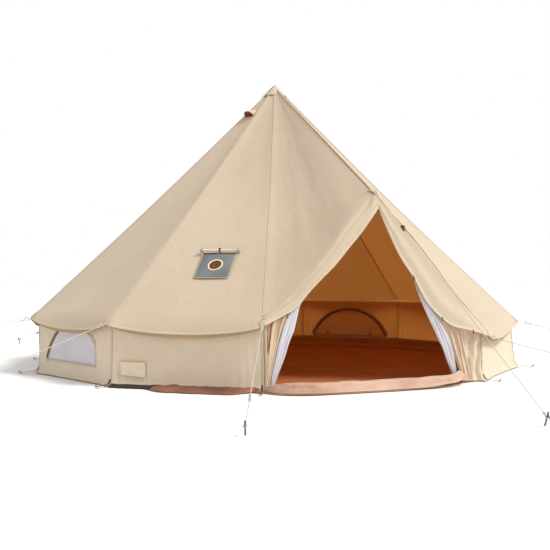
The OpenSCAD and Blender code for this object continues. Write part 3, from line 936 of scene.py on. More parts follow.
wall = Bin()
for k in range(CORNERS - 1):
    fs = np.linspace(0, 1, WALL_COLS + 1)
    vs = np.linspace(0, 1, WALL_ROWS + 1)
    F, V = np.meshgrid(fs, vs)
    Z = 0.006 + (wall_top(k, F) - 0.006) * V
    keep = None
    if k in WINDOW_PANELS:
        X = (0.5 - F) * PERIMETER
        cell = PERIMETER / WALL_COLS
        near_base = (np.abs(Z - ARCH_BASE) < 0.0095) & (np.abs(X) < ARCH_HALF_W + 0.01)
        Z = np.where(near_base, ARCH_BASE, Z)
        rho = np.hypot(X, Z - ARCH_Z)
        snap = (np.abs(rho - ARCH_R) < 0.62 * cell) & (Z > ARCH_BASE + 0.003)
        X = np.where(snap, X * ARCH_R / rho, X)
        Z = np.where(snap, ARCH_Z + (Z - ARCH_Z) * ARCH_R / rho, Z)
        F = 0.5 - X / PERIMETER
        rho = np.hypot(X, Z - ARCH_Z)
        inside = (rho < ARCH_R + 0.001) & (Z > ARCH_BASE - 0.001) & (X > window_stop(k) - 0.001)
        four = inside[:-1, :-1] & inside[1:, :-1] & inside[:-1, 1:] & inside[1:, 1:]
        keep = ~four
    P = wall_point(k, F, Z)
    uv = np.stack([np.concatenate([F, F[:, -1:]], 1) * PERIMETER, np.concatenate([Z, Z[:, -1:]], 1)], -1)
    wall.grid(P, 0, uv=uv, keep=keep)


def wing(k, direction, top_x, foot_x, seed):
    """The short piece of wall between a door-side corner and the door leaf."""
    f0 = 0.0 if k == 0 else 1.0
    panel = 0 if k == 0 else CORNERS - 2
    d = np.linspace(0, 1, 29)
    v = np.linspace(0, 1, WALL_ROWS + 1)
    D, V = np.meshgrid(d, v)
    h = float(wall_top(panel, np.array(f0)))
    Z = 0.006 + (h - 0.006) * V
    start = wall_point(panel, np.full_like(Z, f0), Z)
    end_x = direction * (foot_x + (top_x - foot_x) * V**0.8)
    P = start.copy()
    P[..., 0] = start[..., 0] + (end_x - start[..., 0]) * D
    pleat = np.sin(TAU * (D * 1.6 + 0.9 * V + 0.25 * folds(D * 2.0, V * 2.5, seed + 3)))
    lift = 0.028 * pleat * np.sin(math.pi * np.clip(D * 1.1, 0, 1)) ** 0.6
    lift = lift * (0.45 + 0.55 * np.sin(math.pi * (0.15 + 0.7 * V))) + 0.014 * folds(D * 3 + 1.5 * V, V * 4, seed)
    P[..., 1] = start[..., 1] * (1 - D) + (-DOOR_Y - 0.012) * D - lift
    wall.grid(P if direction < 0 else P[:, ::-1], 0)


wing(0, 1, 0.80, 0.905, 51)
wing(CORNERS - 1, -1, 0.970, 1.022, 52)
# the wall cloth's lighter colour is painted light, and its orange inner face painted glow
wall_sheet = wall.build("wall_sheet", [canvas_wall_painted_light, canvas_in_painted_glow], slot="canvas", thick=0.0018, inner=1, merge=0.0004)
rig.replaces(wall_sheet, "wall_canvas")
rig.sheet(wall_sheet, flat=(13.9, 0.62), held="hung", area=7.7, rests_on=["roof_sheet"])

# seams at the wall's corners and the facing round each window
trim = Bin()
for k in range(CORNERS):
    panel, f = (k, 0.0) if k < CORNERS - 1 else (k - 1, 1.0)
    z = np.linspace(0.012, float(wall_top(panel, np.array(f))) - 0.006, 24)
    path = wall_point(panel, np.full_like(z, f), z)
    ribbon(trim, path, unit(path * LEVEL), 0.016, lift=0.0012)
trim.build("wall_seams", [canvas_seam], slot="canvas")


def arch_angles(k, count, spread=1.0):
    first = math.asin(window_stop(k) / ARCH_R) if window_stop(k) > -ARCH_R else -ARCH_ANGLE
    return np.linspace(max(first, -ARCH_ANGLE), ARCH_ANGLE, count) * spread


def arch_path(k, radius, out, count=61, spread=1.0, since=-2.0):
    a = arch_angles(k, count, spread)
    a = a[a >= since]
    return wall_point(k, arch_f(radius * np.sin(a)), ARCH_Z + radius * np.cos(a), out)


def panel_out(k):
    return unit((corner(k, 1, 0) + corner(k + 1, 1, 0)) / 2)


facing, zips, net, covers, ties = Bin(), Bin(), Bin(), Bin(), Bin()
TIE_XS = (-0.30, 0.0, 0.30)
TIE_LOOP_R = 0.0262
FACING_W, SILL_FACING_W = 0.024, 0.022
TAPE_OUT_W, TAPE_IN_W, TEETH_W = 0.018, 0.032, 0.007
SHOWN_FROM = 0.12  # the dark line outside starts at this angle past the arch's top
ROLL_Z, ROLL_OUT, ROLL_TURNS = 0.165, -0.062, 2.6
NET_COLS, NET_ROWS = 60, 26
for k in WINDOW_PANELS:
    out = panel_out(k)
    left = max(-ARCH_HALF_W, window_stop(k))
    base_x = np.linspace(left, ARCH_HALF_W, 40)
    for face, lift in ((1, 0.0012), (-1, 0.0032)):
        ribbon(facing, arch_path(k, ARCH_R + 0.012, 0, spread=0.985), out * face, FACING_W, lift=lift)
        base = wall_point(k, arch_f(base_x), np.full(40, ARCH_BASE - 0.010))
        ribbon(facing, base, out * face, SILL_FACING_W, lift=lift)
    if left > -ARCH_HALF_W:
        edge_z = np.linspace(ARCH_BASE, ARCH_Z + math.sqrt(ARCH_R**2 - left**2), 20)
        ribbon(facing, wall_point(k, np.full(20, arch_f(left + 0.004)), edge_z), out, 0.018, lift=0.0012)
    # the zip: a wide tape and teeth seen from inside; outside a tape, teeth and a dark line up the left of the arch
    ribbon(zips, arch_path(k, ARCH_R - 0.007, -0.004, spread=0.975), out, TAPE_OUT_W, lift=0.0, thick=0.0012, mat=3)
    ribbon(zips, arch_path(k, ARCH_R + 0.001, 0.0, 121, 0.975, SHOWN_FROM), out, 0.012, lift=0.0014, thick=0.0014)
    ribbon(zips, arch_path(k, ARCH_R - 0.010, -0.0035, 241, 0.975), out, 0.006, lift=0.0014, thick=0.0018, mat=1)
    ribbon(zips, arch_path(k, ARCH_R - 0.008, -0.019, spread=0.99), -out, TAPE_IN_W, lift=0.0, thick=0.0015, mat=2)
    ribbon(zips, arch_path(k, ARCH_R - 0.010, -0.021, 241, 0.97), -out, TEETH_W, lift=0.0014, thick=0.0018, mat=1)
    # the insect mesh
    share = np.linspace(0, 1, NET_ROWS)
    a = arch_angles(k, NET_COLS)
    x = np.sin(a) * (ARCH_R - 0.006)
    top_z = np.maximum(ARCH_Z + np.cos(a) * (ARCH_R - 0.006), ARCH_BASE)
    Xg = np.broadcast_to(x, (NET_ROWS, NET_COLS))
    Zg = (ARCH_BASE - 0.004) + (top_z - (ARCH_BASE - 0.004)) * share[:, None]
    inside_arch = smooth01((ARCH_R - np.hypot(Xg, Zg - ARCH_Z)) / 0.10)
    slack = 0.010 * folds(Xg * 5.0, Zg * 6.0, 60 + k) * inside_arch - 0.004
    net.grid(wall_point(k, arch_f(Xg), Zg, -0.006 + slack * np.sin(math.pi * share)[:, None]), 0)
    if k in OPEN_WINDOWS:
        # the cover, rolled up along the foot of the window and tied
        roll_l = ARCH_HALF_W - left - 0.07
        xs = np.linspace(left + 0.035, left + 0.035 + roll_l, 70)
        line = wall_point(k, arch_f(xs), np.full(70, ROLL_Z), ROLL_OUT)
        turns = np.linspace(0, TAU * ROLL_TURNS, 64)
        rings = []
        for i, p in enumerate(line):
            wob = 1 + 0.06 * float(noise(i * 0.25, 1.0, 70 + k))
            pinch = 1 - 0.22 * sum(math.exp(-(((xs[i] - c) / 0.03) ** 2)) for c in TIE_XS)
            rr = (0.014 + 0.0056 * turns / (TAU)) * wob * pinch
            rings.append(p + np.outer(rr * np.cos(turns), -out) + np.outer(rr * np.sin(turns), (0, 0, 1)))
        covers.grid(np.array(rings), 0)
        for c in TIE_XS:
            centre = wall_point(k, arch_f(np.array([c])), np.array([ROLL_Z]), ROLL_OUT)[0]
            t = np.linspace(0, TAU, 33)
            ring = hoop(centre, -out, (0, 0, 1), TIE_LOOP_R, TIE_LOOP_R, t)
            ribbon(ties, ring, unit(ring - centre), 0.018, lift=0.0006)
    else:
        slack = 0.009 * folds(Xg * 4.0, Zg * 5.0, 80 + k)
        hang = (slack * 0.4 - 0.016) * np.sin(math.pi * share)[:, None]
        # the closed cover hangs just inside the net; its orange colour is painted glow
        covers.grid(wall_point(k, arch_f(Xg * 0.985), Zg, -0.0135 + hang), 1)
        for c in (-0.30, 0.30):
            zz = np.linspace(ARCH_BASE + 0.005, ARCH_BASE + 0.065, 12)
            ribbon(ties, wall_point(k, np.full(12, arch_f(c)), zz, -0.020), -out, 0.020, lift=0.001)
facing.build("window_facings", [canvas_seam], slot="canvas")
zip_obj = zips.build("window_zip_tapes", [zip_tape.mat, zip_brass, brown_tape.mat, webbing_look.mat], slot="zip_tape")
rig.replaces(zip_obj, "window_zips")
net_obj = net.build("window_nets", [mesh_look], slot="mesh", thick=0.0008)
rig.replaces(net_obj, "window_meshes")
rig.sheet(net_obj, flat=(4.2, 0.36), held="stretched", area=1.0, rests_on=["wall_sheet"])
cover_obj = covers.build("window_cover_cloths", [canvas_roll, canvas_cover_painted_glow], slot="canvas", thick=0.0012)
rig.replaces(cover_obj, "window_covers")
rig.sheet(cover_obj, flat=(4.2, 0.42), held="gathered", area=1.45, rests_on=["wall_sheet"])
ties.build("window_ties", [brown_tape.mat], slot="webbing")

# ---- groundsheet ----
TUB_R, TUB_H = 2.468, 0.13
PER_PANEL = 16
floor_bin = Bin()


def around(r, z, front=0.0):
    """A loop of points round the tent at a radius. In front of the door it bows out by front."""
    pts = []
    for k in range(CORNERS - 1):
        a, b = corner(k, r, z), corner(k + 1, r, z)
        pts += [a + (b - a) * i / PER_PANEL for i in range(PER_PANEL)]
    a, b = corner(CORNERS - 1, r, z), corner(0, r, z)
    for i in range(28):
        f = i / 28
        bow = front * min(1.0, math.sin(math.pi * f) * 1.9)
        pts.append(a + (b - a) * f + np.array([0, -bow, 0]))
    return np.array(pts)


rings = []
for share in np.linspace(0.02, 1, 26):
    loop = around((TUB_R - 0.02) * share, 0.004, front=0.13 * share**2)
    creases = np.clip(folds(loop[:, 0] * 3, loop[:, 1] * 3, 90), -0.8, 1.5)
    loop[:, 2] += 0.004 + 0.005 * creases * (1 - smooth01(np.array(share * 8 - 7)))
    rings.append(loop)
floor_bin.grid(np.array(rings), 0, wrap=True)
tub_rows = []
for i in range(12):
    g = i / 11
    r = TUB_R - 0.02 + 0.02 * smooth01(np.array(g * 3.0))
    z = 0.008 + (TUB_H - 0.008) * g
    loop = around(float(r), z)[: PER_PANEL * (CORNERS - 1) + 1]
    s = np.arange(len(loop))
    ripple = 0.006 * folds(s * 0.22, g * 1.5, 93) * math.sin(math.pi * min(g * 1.2, 1))
    ripple = ripple + 0.004 * folds(s * 0.9, g * 3, 94) * g
    tub_rows.append(loop + unit(loop * LEVEL) * (ripple - 0.004)[:, None])
tub_grid = np.array(tub_rows)
floor_bin.grid(tub_grid, 1)
floor_obj = floor_bin.build("groundsheet_sheet", [ground_look.mat, tub_look.mat], slot="groundsheet", thick=0.0015)
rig.replaces(floor_obj, "groundsheet_floor", "groundsheet_edge")
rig.sheet(floor_obj, flat=(5.4, 5.4), held="laid", area=21.0, rests_on=["centre_pole_bottom"])

edge_trim = Bin()
top_line = tub_grid[-1] + np.array([0, 0, -0.006])
ribbon(edge_trim, top_line, -unit(top_line * LEVEL), 0.022, lift=0.002)
edge_trim.build("groundsheet_binding", [canvas_band], slot="canvas")

# the groundsheet's loose edge, which shows outside under one panel: black near the corner, then brown and crumpled
skirt = Bin()
share = np.linspace(0.015, 0.985, 110)
black_end = smooth01((0.30 - np.abs(share - 0.17)) / 0.30)
brown_end = smooth01((share - 0.22) / 0.22) * smooth01((0.955 - share) / 0.12)
reach = 0.035 + 0.045 * black_end + 0.185 * brown_end
rows = []
for g in np.linspace(0, 1, 26):
    crumple = folds(share * 16 + 1.5 * g, g * 2.4 + 0.8 * share, 97) * 0.5 + 0.5
    foot = wall_point(9, share, np.full(110, 0.02))
    level = panel_out(9)
    out_by = reach * g * (1 + 0.08 * folds(share * 11, 0.5, 99)) - 0.006
    p = foot + level * out_by[:, None]
    arched = math.sin(math.pi * min(1.0, 0.12 + 0.88 * g)) ** 0.7
    height = 0.004 + (0.018 + 0.020 * smooth01((share - 0.25) / 0.2)) * crumple * arched
    p[:, 2] = height + 0.020 * (1 - g) ** 3
    rows.append(p)
rows = np.array(rows)
split = int(np.searchsorted(share, 0.30))
skirt.grid(rows[::-1, : split + 1], 0)
skirt.grid(rows[::-1, split:], 1)
skirt_obj = skirt.build("groundsheet_loose_edge", [skirt_look.mat, loose_look.mat], slot="groundsheet", thick=0.0025)
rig.sheet(skirt_obj, flat=(1.32, 0.26), area=0.24, held="laid", rests_on=["groundsheet_sheet"])

# ---- door sill: a raised fold of the groundsheet that bows out in front ----
SILL_OUT = 0.15
SILL_COLS = 190
SILL_PATH = [
    (-1.035, -2.300), (-0.95, -2.40 - 0.5 * SILL_OUT), (-0.72, -2.425 - SILL_OUT), (-0.30, -2.440 - SILL_OUT),
    (0.10, -2.435 - SILL_OUT), (0.45, -2.42 - 0.9 * SILL_OUT), (0.62, -2.395 - 0.7 * SILL_OUT),
    (0.72, -2.365 - 0.35 * SILL_OUT), (0.80, -2.335), (0.90, -2.305),
]
SILL_H = [0.050, 0.080, 0.088, 0.088, 0.088, 0.090, 0.095, 0.105, 0.092, 0.040]
SILL_LIFT = [0, 0, 0, 0, 0, 0, 0.004, 0.026, 0.030, 0.010]
sill_xy = spline([(x, y, h) for (x, y), h in zip(SILL_PATH, SILL_H)], SILL_COLS)
sill_lift = np.interp(np.linspace(0, 1, SILL_COLS), np.linspace(0, 1, len(SILL_LIFT)), SILL_LIFT)
# The fold's section from front to back: how far in, and the share of its height
profile = [
    (-0.006, 0.004), (0.000, 0.16), (0.005, 0.34), (0.002, 0.52), (0.009, 0.70), (0.006, 0.86), (0.012, 1.0),
    (0.026, 1.0), (0.032, 0.86), (0.040, 0.5), (0.060, 0.14), (0.11, 0.055), (0.20, 0.05),
]
t = unit(np.gradient(sill_xy[:, :2], axis=0))
inward = np.stack([-t[:, 1], t[:, 0]], 1)
grid_rows = []
for j, (d, hz) in enumerate(profile):
    i = np.arange(SILL_COLS)
    wob = 0.012 * folds(i * 0.085 + 0.22 * j, j * 0.55, 101) + 0.005 * folds(i * 0.35 + 0.3 * j, j * 0.7, 102)
    xy = sill_xy[:, :2] + inward * (d + wob * min(1.0, hz * 1.5))[:, None]
    sag = 0.006 * folds(i * 0.09, 2.0, 103)
    z = np.maximum(0.003 + sill_lift * (1 - hz) + (sill_xy[:, 2] + sag) * hz, 0.003)
    grid_rows.append(np.column_stack([xy, z]))
sill = Bin()
sill.grid(np.array(grid_rows), 0)
sill_obj = sill.build("door_sill_cloth", [sill_look.mat], slot="sill", thick=0.0025)
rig.replaces(sill_obj, "door_sill")
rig.sheet(sill_obj, flat=(2.25, 0.38), held="folded", rests_on=["groundsheet_sheet"])
sill_trim = Bin()
crest = grid_rows[6] * 0.5 + grid_rows[7] * 0.5 + np.array([0, 0, 0.001])
ribbon(sill_trim, crest, (0, 0, 1), 0.013, lift=0.001, crown=0.002)
# a thin dark brown line along the foot of the fold's front
low_edge = grid_rows[1] * LEVEL + np.array([0, -0.006, 0.010])
ribbon(sill_trim, low_edge, (0, -1, 0.25), 0.006, lift=0.001, mat=1)
sill_trim.build("door_sill_lines", [piping_look, brown_tape.mat], slot="piping")


# ---- gathered door leaves ----
def gathered(node, path, widths, depth, pleats, material, slot, seed, thick=0.0015):
    """A curtain drawn together into pleats, along a path from its head to its foot. It stands for a CAD node."""
    rows, cols = 70, 90
    line = spline(path, rows)
    w = np.interp(np.linspace(0, 1, rows), np.linspace(0, 1, len(widths)), widths)
    t = unit(np.gradient(line, axis=0))
    face = np.array([0, -1.0, 0])
    across = unit(np.cross(t, face))
    s = np.linspace(0, 1, cols)
    rows_out = []
    for i in range(rows):
        v = i / (rows - 1)
        phase = 0.6 * float(noise(v * 2.2, 0, seed)) + 0.35
        warp = s + 0.05 * np.sin(TAU * (s * 1.3 + v * 1.1)) + 0.05 * noise(s * 2.0, v * 3.0, seed + 9)
        fold = np.sin(TAU * (pleats * warp + phase)) * (0.75 + 0.25 * noise(s * pleats, v * 3, seed + 2))
        side = w[i] * (s - 0.5) + 0.22 * w[i] / pleats * np.sin(4 * math.pi * (pleats * warp + phase))
        amp = depth * (0.55 + 0.45 * math.sin(math.pi * min(1.0, 0.15 + v)))
        p = line[i] + np.outer(side, across[i]) + np.outer(amp * fold, face)
        p[:, 1] += 0.002 * noise(s * 8, v * 14, seed + 5)
        rows_out.append(p)
    g = np.array(rows_out)
    g[..., 2] = np.maximum(g[..., 2], 0.012)
    b = Bin()
    b.grid(g, 0)
    obj = b.build(node + "_cloth", [material], slot=slot, thick=thick, offset=0.0)
    width = float(np.mean(np.linalg.norm(np.diff(g, axis=1), axis=2).sum(1)))
    length = float(np.mean(np.linalg.norm(np.diff(g, axis=0), axis=2).sum(0)))
    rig.replaces(obj, node)
    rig.sheet(obj, flat=(round(width, 2), round(length, 2)), held="gathered", rests_on=["roof_sheet"])


gathered(
    "door_leaf_right",
    [(0.40, -2.235, 0.98), (0.52, -2.262, 0.76), (0.62, -2.285, 0.60), (0.72, -2.300, 0.45),
     (0.80, -2.305, 0.22), (0.862, -2.305, 0.018)],
    [0.03, 0.08, 0.13, 0.14, 0.11, 0.075], 0.020, 2.6, canvas_leaf, "canvas", 111)
gathered(
    "door_leaf_left",
    [(-0.66, -2.26, 0.84), (-0.80, -2.27, 0.70), (-0.885, -2.298, 0.56), (-0.925, -2.304, 0.40),
     (-0.965, -2.306, 0.22), (-1.004, -2.306, 0.018)],
    [0.03, 0.09, 0.15, 0.13, 0.09, 0.06], 0.020, 2.6, canvas_leaf, "canvas", 121)
gathered(
    "door_mesh_right",
    [(0.375, -2.248, 0.88), (0.435, -2.270, 0.74), (0.530, -2.292, 0.575), (0.605, -2.312, 0.42),
     (0.665, -2.318, 0.28), (0.742, -2.318, 0.035)],
    [0.012, 0.05, 0.085, 0.095, 0.08, 0.028], 0.009, 3.5, mesh_look, "mesh", 131, thick=0.0008)
gathered(
    "door_mesh_left",
    [(-0.685, -2.262, 0.80), (-0.745, -2.285, 0.69), (-0.835, -2.318, 0.485), (-0.900, -2.322, 0.30),
     (-0.945, -2.322, 0.16), (-0.978, -2.320, 0.035)],
    [0.02, 0.06, 0.085, 0.078, 0.055, 0.024], 0.009, 3.0, mesh_look, "mesh", 141, thick=0.0008)

toggles = Bin()
for x, y, z in ((-0.865, -2.345, 0.612), (0.338, -2.280, 0.915), (0.590, -2.332, 0.560), (0.895, -2.345, 0.448)):
    a = np.array([x, y - 0.008, z + 0.014])
    b = np.array([x + 0.006, y - 0.012, z - 0.020])
    line = np.linspace(a, b, 12)
    shape = 0.0062 * (0.72 + 0.28 * np.sin(np.linspace(0, math.pi, 12)))
    tube(toggles, line, shape, 12, up=(0, -1, 0))
    loop_t = np.linspace(0, TAU, 21)
    tube(toggles, hoop((a + b) / 2, (1, 0, 0), (0, 1, 0), 0.010, 0.008, loop_t), 0.0016, 8, mat=1, up=(0, 0, 1))
toggle_obj = toggles.build("door_toggle_set", [toggle_wood, rope_look], slot="toggle_wood")
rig.replaces(toggle_obj, "door_toggles")


# ---- stove jack ----
def roof_frame(k, r):
    """Middle of a flat roof panel at a radius: a point on it, the up-slope and sideways directions, the normal."""
    a = corner_angle(k) + SIDE
    out = np.array([math.sin(a), -math.cos(a), 0])
    n = unit(out * math.sin(TILT) + np.array([0, 0, math.cos(TILT)]))
    up = unit(np.array([0, 0, 1]) - n * n[2])
    side = np.cross(up, n)
    z = PEAK - r * FALL / math.cos(SIDE)
    return np.array([out[0] * r, out[1] * r, z]), up, side, n


def down_to_cloth(point, column, up, n):
    """The point moved along n until it is level with the nearest part of a column of the roof's sagging cloth."""
    off = ROOF[:MAIN_ROWS, column] - point
    return point + n * (off @ n)[int(np.argmin(np.abs(off @ up)))]


plane_p, up, side, n = roof_frame(JACK_PANEL, JACK_R)
across = 0.5 + JACK_ACROSS / (2 * JACK_R * math.tan(SIDE))
jack_column = column_of(JACK_PANEL) + int(round(GORE_COLS * across))
jack_c = down_to_cloth(plane_p + side * JACK_ACROSS, jack_column, up, n)


def holed_square(bin_, centre, half, lift, crown, hole):
    """A square of cloth on the roof with a round hole."""
    thick = 0.002
    ang = np.linspace(0, TAU, 96, endpoint=False)
    sq = np.maximum(np.abs(np.cos(ang)), np.abs(np.sin(ang)))
    outer = np.stack([np.cos(ang) / sq * half, np.sin(ang) / sq * half], 1)
    inner = np.stack([np.cos(ang), np.sin(ang)], 1) * hole
    rows_ = []
    for g in np.linspace(0, 1, 12):
        q = inner + (outer - inner) * g
        rise = lift + thick + crown * math.sin(math.pi * g) + 0.0015 * noise(q[:, 0] * 18, q[:, 1] * 18, 7)
        rows_.append(centre + q[:, :1] * side + q[:, 1:] * up + rise[:, None] * n)
    edge_low = centre + outer[:, :1] * side + outer[:, 1:] * up + lift * n
    hole_low = centre + inner[:, :1] * side + inner[:, 1:] * up + lift * n
    bin_.grid(np.array([hole_low] + rows_ + [edge_low, hole_low]), 0, wrap=True)


jack = Bin()
HALF, HOLE_R = 0.15, 0.056
LIFT = 0.012  # the heat-proof cloth stands this far off the roof
holed_square(jack, jack_c, HALF, LIFT, 0.003, HOLE_R)
jack_obj = jack.build("jack_panel_cloth", [jack_look.mat], slot="jack_cloth")
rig.replaces(jack_obj, "stove_jack_panel")

jack_trim = Bin()
for (x0, y0), (x1, y1) in (((-1, -1), (1, -1)), ((1, -1), (1, 1)), ((1, 1), (-1, 1)), ((-1, 1), (-1, -1))):
    g = np.linspace(0, 1, 16)[:, None]
    a = np.array([x0, y0]) * (HALF + 0.004)
    b = np.array([x1, y1]) * (HALF + 0.004)
    q = a + (b - a) * g
    path = jack_c + q[:, :1] * side + q[:, 1:] * up
    ribbon(jack_trim, path, n, 0.009, lift=LIFT + 0.0015, thick=0.0015, crown=0.001, mat=1)
ang = np.linspace(0, TAU, 65)
ring = hoop(jack_c, side, up, 0.062, 0.062, ang)
ribbon(jack_trim, ring, n, 0.015, lift=LIFT + 0.004, thick=0.003, crown=0.002)
trim_obj = jack_trim.build("jack_piping", [piping_look, webbing_look.mat], slot="piping")
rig.replaces(trim_obj, "stove_jack_ring")

# a dark brown disc under the stove jack's hole: painted shade for the dim inside seen through it
dark_hole = Bin()
ang = np.linspace(0, TAU, 48, endpoint=False)
disc = np.array([hoop(jack_c + n * (LIFT - 0.001), side, up, r_, r_, ang) for r_ in (0.002, 0.03, HOLE_R + 0.002)])
dark_hole.grid(disc, 0, wrap=True)
dark_hole.build("jack_hole_painted_shade", [opening_shade_look.mat], slot="canvas", thick=0.001)

roll = Bin()
roll_len, roll_turns = 0.375, 2.4
xs = np.linspace(-roll_len / 2, roll_len / 2, 56)
axis_c = jack_c + up * (HALF + 0.024) + n * (LIFT + 0.015)
a = np.linspace(0, TAU * roll_turns, 56)
rings = []
for i, x in enumerate(xs):
    pinch = 1 - 0.20 * sum(math.exp(-(((x - c) / 0.02) ** 2)) for c in (-0.105, 0.105))
    rr = (0.0055 + 0.0036 * a / (TAU)) * pinch * (1 + 0.05 * float(noise(i * 0.4, 2, 8)))
    sag = -0.004 * (1 - (2 * x / roll_len) ** 2)
    rings.append(hoop(axis_c + side * x + up * sag, up, n, rr, rr, a))
roll.grid(np.array(rings), 0)
roll_obj = roll.build("jack_flap_roll", [canvas_roll], slot="canvas", thick=0.0014)
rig.replaces(roll_obj, "stove_jack_flap")
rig.sheet(roll_obj, flat=(0.375, 0.14), held="folded", rests_on=["jack_panel_cloth"])
roll_ties = Bin()
for c, wide, rad in ((-0.172, 0.020, 0.0165), (0.0, 0.012, 0.0160), (0.172, 0.020, 0.0165)):
    tt = np.linspace(0, TAU, 33)
    centre = axis_c + side * c
    ring = hoop(centre, up, n, rad, rad, tt)
    ribbon(roll_ties, ring, unit(ring - centre), wide, lift=0.0012, mat=0 if c else 1)
snap = axis_c + n * 0.019
snap_shape = 0.009 * np.array([1.0, 1.05, 1.05, 0.95, 0.75, 0.3])
tube(roll_ties, np.linspace(snap, snap + n * 0.006, 6), snap_shape, 20, mat=2, up=up)
dark_line = jack_c + np.outer(np.linspace(-0.15, 0.15, 12), side) + up * (HALF - 0.006)
ribbon(roll_ties, dark_line, n, 0.014, lift=LIFT + 0.003, mat=1)
roll_ties.build("jack_flap_ties", [webbing_look.mat, dark_webbing.mat, black_plastic], slot="webbing")

# ---- peak cap and vent hoods ----
cap = Bin()
a = np.linspace(0, TAU, 44, endpoint=False)
rows = []
CAP = [(0.002, 2.994), (0.010, 2.991), (0.019, 2.982), (0.030, 2.968), (0.046, 2.950), (0.072, 2.921), (0.10, 2.891),
       (0.125, 2.8645)]
for r, z in CAP:
    rr = r * (1 + 0.010 * np.cos(11 * a) * (r / 0.125))
    rows.append(np.stack([rr * np.sin(a), -rr * np.cos(a), np.full_like(a, z)], 1))
cap.grid(np.array(rows), 0, wrap=True, flip=True)
cap_obj = cap.build("peak_cap_cloth", [canvas_band], slot="reinforcement", thick=0.002)
cap_edge = Bin()
seam_a = corner_angle(8) + 0.06
# a thin dark band down the roof from the peak, beside the seam at corner 8
peak_line = np.array([place(r, seam_a, PEAK - FALL * r + 0.016) for r in np.linspace(0.012, 0.17, 16)])
ribbon(cap_edge, peak_line, unit(place(FALL, seam_a, 1.0)), 0.014, lift=0.001)
cap_edge.build("peak_dark_line", [dark_webbing.mat], slot="webbing")
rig.replaces(cap_obj, "apex_cap")

hoods, hood_dark = Bin(), Bin()
VENT_R = 0.33
for k in (2, 8):
    p, up_, side_, n_ = roof_frame(k, VENT_R)
    base = down_to_cloth(p, column_of(k) + GORE_COLS // 2, up_, n_) + n_ * 0.002
    s_ = np.linspace(-1, 1, 25)
    arc = np.sqrt(np.clip(1 - s_**2, 0, 1)) ** 0.8
    rows = []
    for v in np.linspace(0, 1, 14):
        y = 0.050 - 0.100 * v
        rise = 0.006 + 0.064 * v**0.7
        rows.append(base + np.outer(s_ * (0.044 + 0.026 * v), side_) + up_ * y + np.outer(arc * rise, n_))
    hoods.grid(np.array(rows), 0)
    # a net across each vent's mouth, its dark brown colour painted shade under the hood
    mouth = base - up_ * 0.044 + n_ * 0.001
    rows = [mouth + np.outer(s_ * 0.066 * q, side_) + np.outer(arc * 0.064 * q, n_) for q in (0.03, 0.5, 1.0)]
    hood_dark.grid(np.array(rows), 0)
hood_obj = hoods.build("vent_hood_cloths", [canvas_band], slot="canvas", thick=0.002)
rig.replaces(hood_obj, "apex_vent_hoods")
hood_dark.build("vent_net_painted_shade", [opening_shade_look.mat], slot="mesh", thick=0.001)

# ---- cable port ----
PORT_X, PORT_Z, PORT_W, PORT_H = 0.47, 0.15, 0.23, 0.12
port = Bin()
X, Z = np.meshgrid(np.linspace(-PORT_W / 2, PORT_W / 2, 24), np.linspace(-PORT_H / 2, PORT_H / 2, 16))
X = X + 0.10 * Z
Z = Z * (1 - 0.10 * X / PORT_W) + 0.004 * np.sin(math.pi * X / PORT_W)
port_base = wall_point(9, arch_f(PORT_X + X), PORT_Z + Z)
out9 = panel_out(9)
flat_d = port_base @ out9
gap = flat_d.max() - flat_d + 0.004
bow = 0.004 * (1 - (2 * X / PORT_W) ** 2) + 0.006 * folds(X * 16, Z * 16, 151)
port.grid(port_base + (gap * 0.6 + 0.004 + bow)[..., None] * out9, 0)
# the flap is wall cloth, lightened as painted light like the walls
port_obj = port.build("cable_port_flap_cloth", [canvas_wall_painted_light], body="cable_port_flap", slot="canvas", thick=0.0018)
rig.replaces(port_obj, "cable_port_flap")
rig.sheet(port_obj, flat=(0.23, 0.12), held="hung", rests_on=["wall_sheet"])

# ---- tabs, webbing and the rest of the CAD ----
tabs = Bin()
for k in range(CORNERS + 1):
    if k < CORNERS:
        tip_p = hem_tip(k)
        out = unit(tip_p * LEVEL)
        ring_c = corner(k, HEM_R + 0.034, HEM_Z - DROP.get(k, 0) - 0.008)
        start = tip_p - out * 0.045 + np.array([0, 0, 0.044])
    else:
        tip_p, out = TIP, np.array([0, -1.0, 0])
        ring_c = np.array([0, -2.234, 1.632])
        start = TIP + np.array([0, 0.05, 0.026])
    inner = ring_c - out * 0.016
    tt = np.linspace(-math.pi / 2, math.pi / 2, 12)
    wrap = hoop(inner, out, (0, 0, 1), 0.0058, -0.0058, tt)
    to_ring = np.linspace(start, tip_p + np.array([0, 0, 0.002]), 8)
    back = np.linspace(wrap[-1], tip_p - out * 0.03 + np.array([0, 0, -0.012]), 6)
    path = np.vstack([to_ring, wrap, back])
    tt_side = unit(np.cross(out, (0, 0, 1)))
    taper = np.concatenate([np.linspace(0.030, 0.013, 8), np.full(len(path) - 8, 0.012)])[:, None]
    rows = np.stack([path + tt_side * taper * q for q in (-1, -0.35, 0.35, 1)], 1)
    tabs.grid(rows, 0)
tab_obj = tabs.build("guy_tab_webbing", [canvas_band], slot="webbing", thick=0.0018, offset=0.0)
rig.replaces(tab_obj, "guy_tabs")

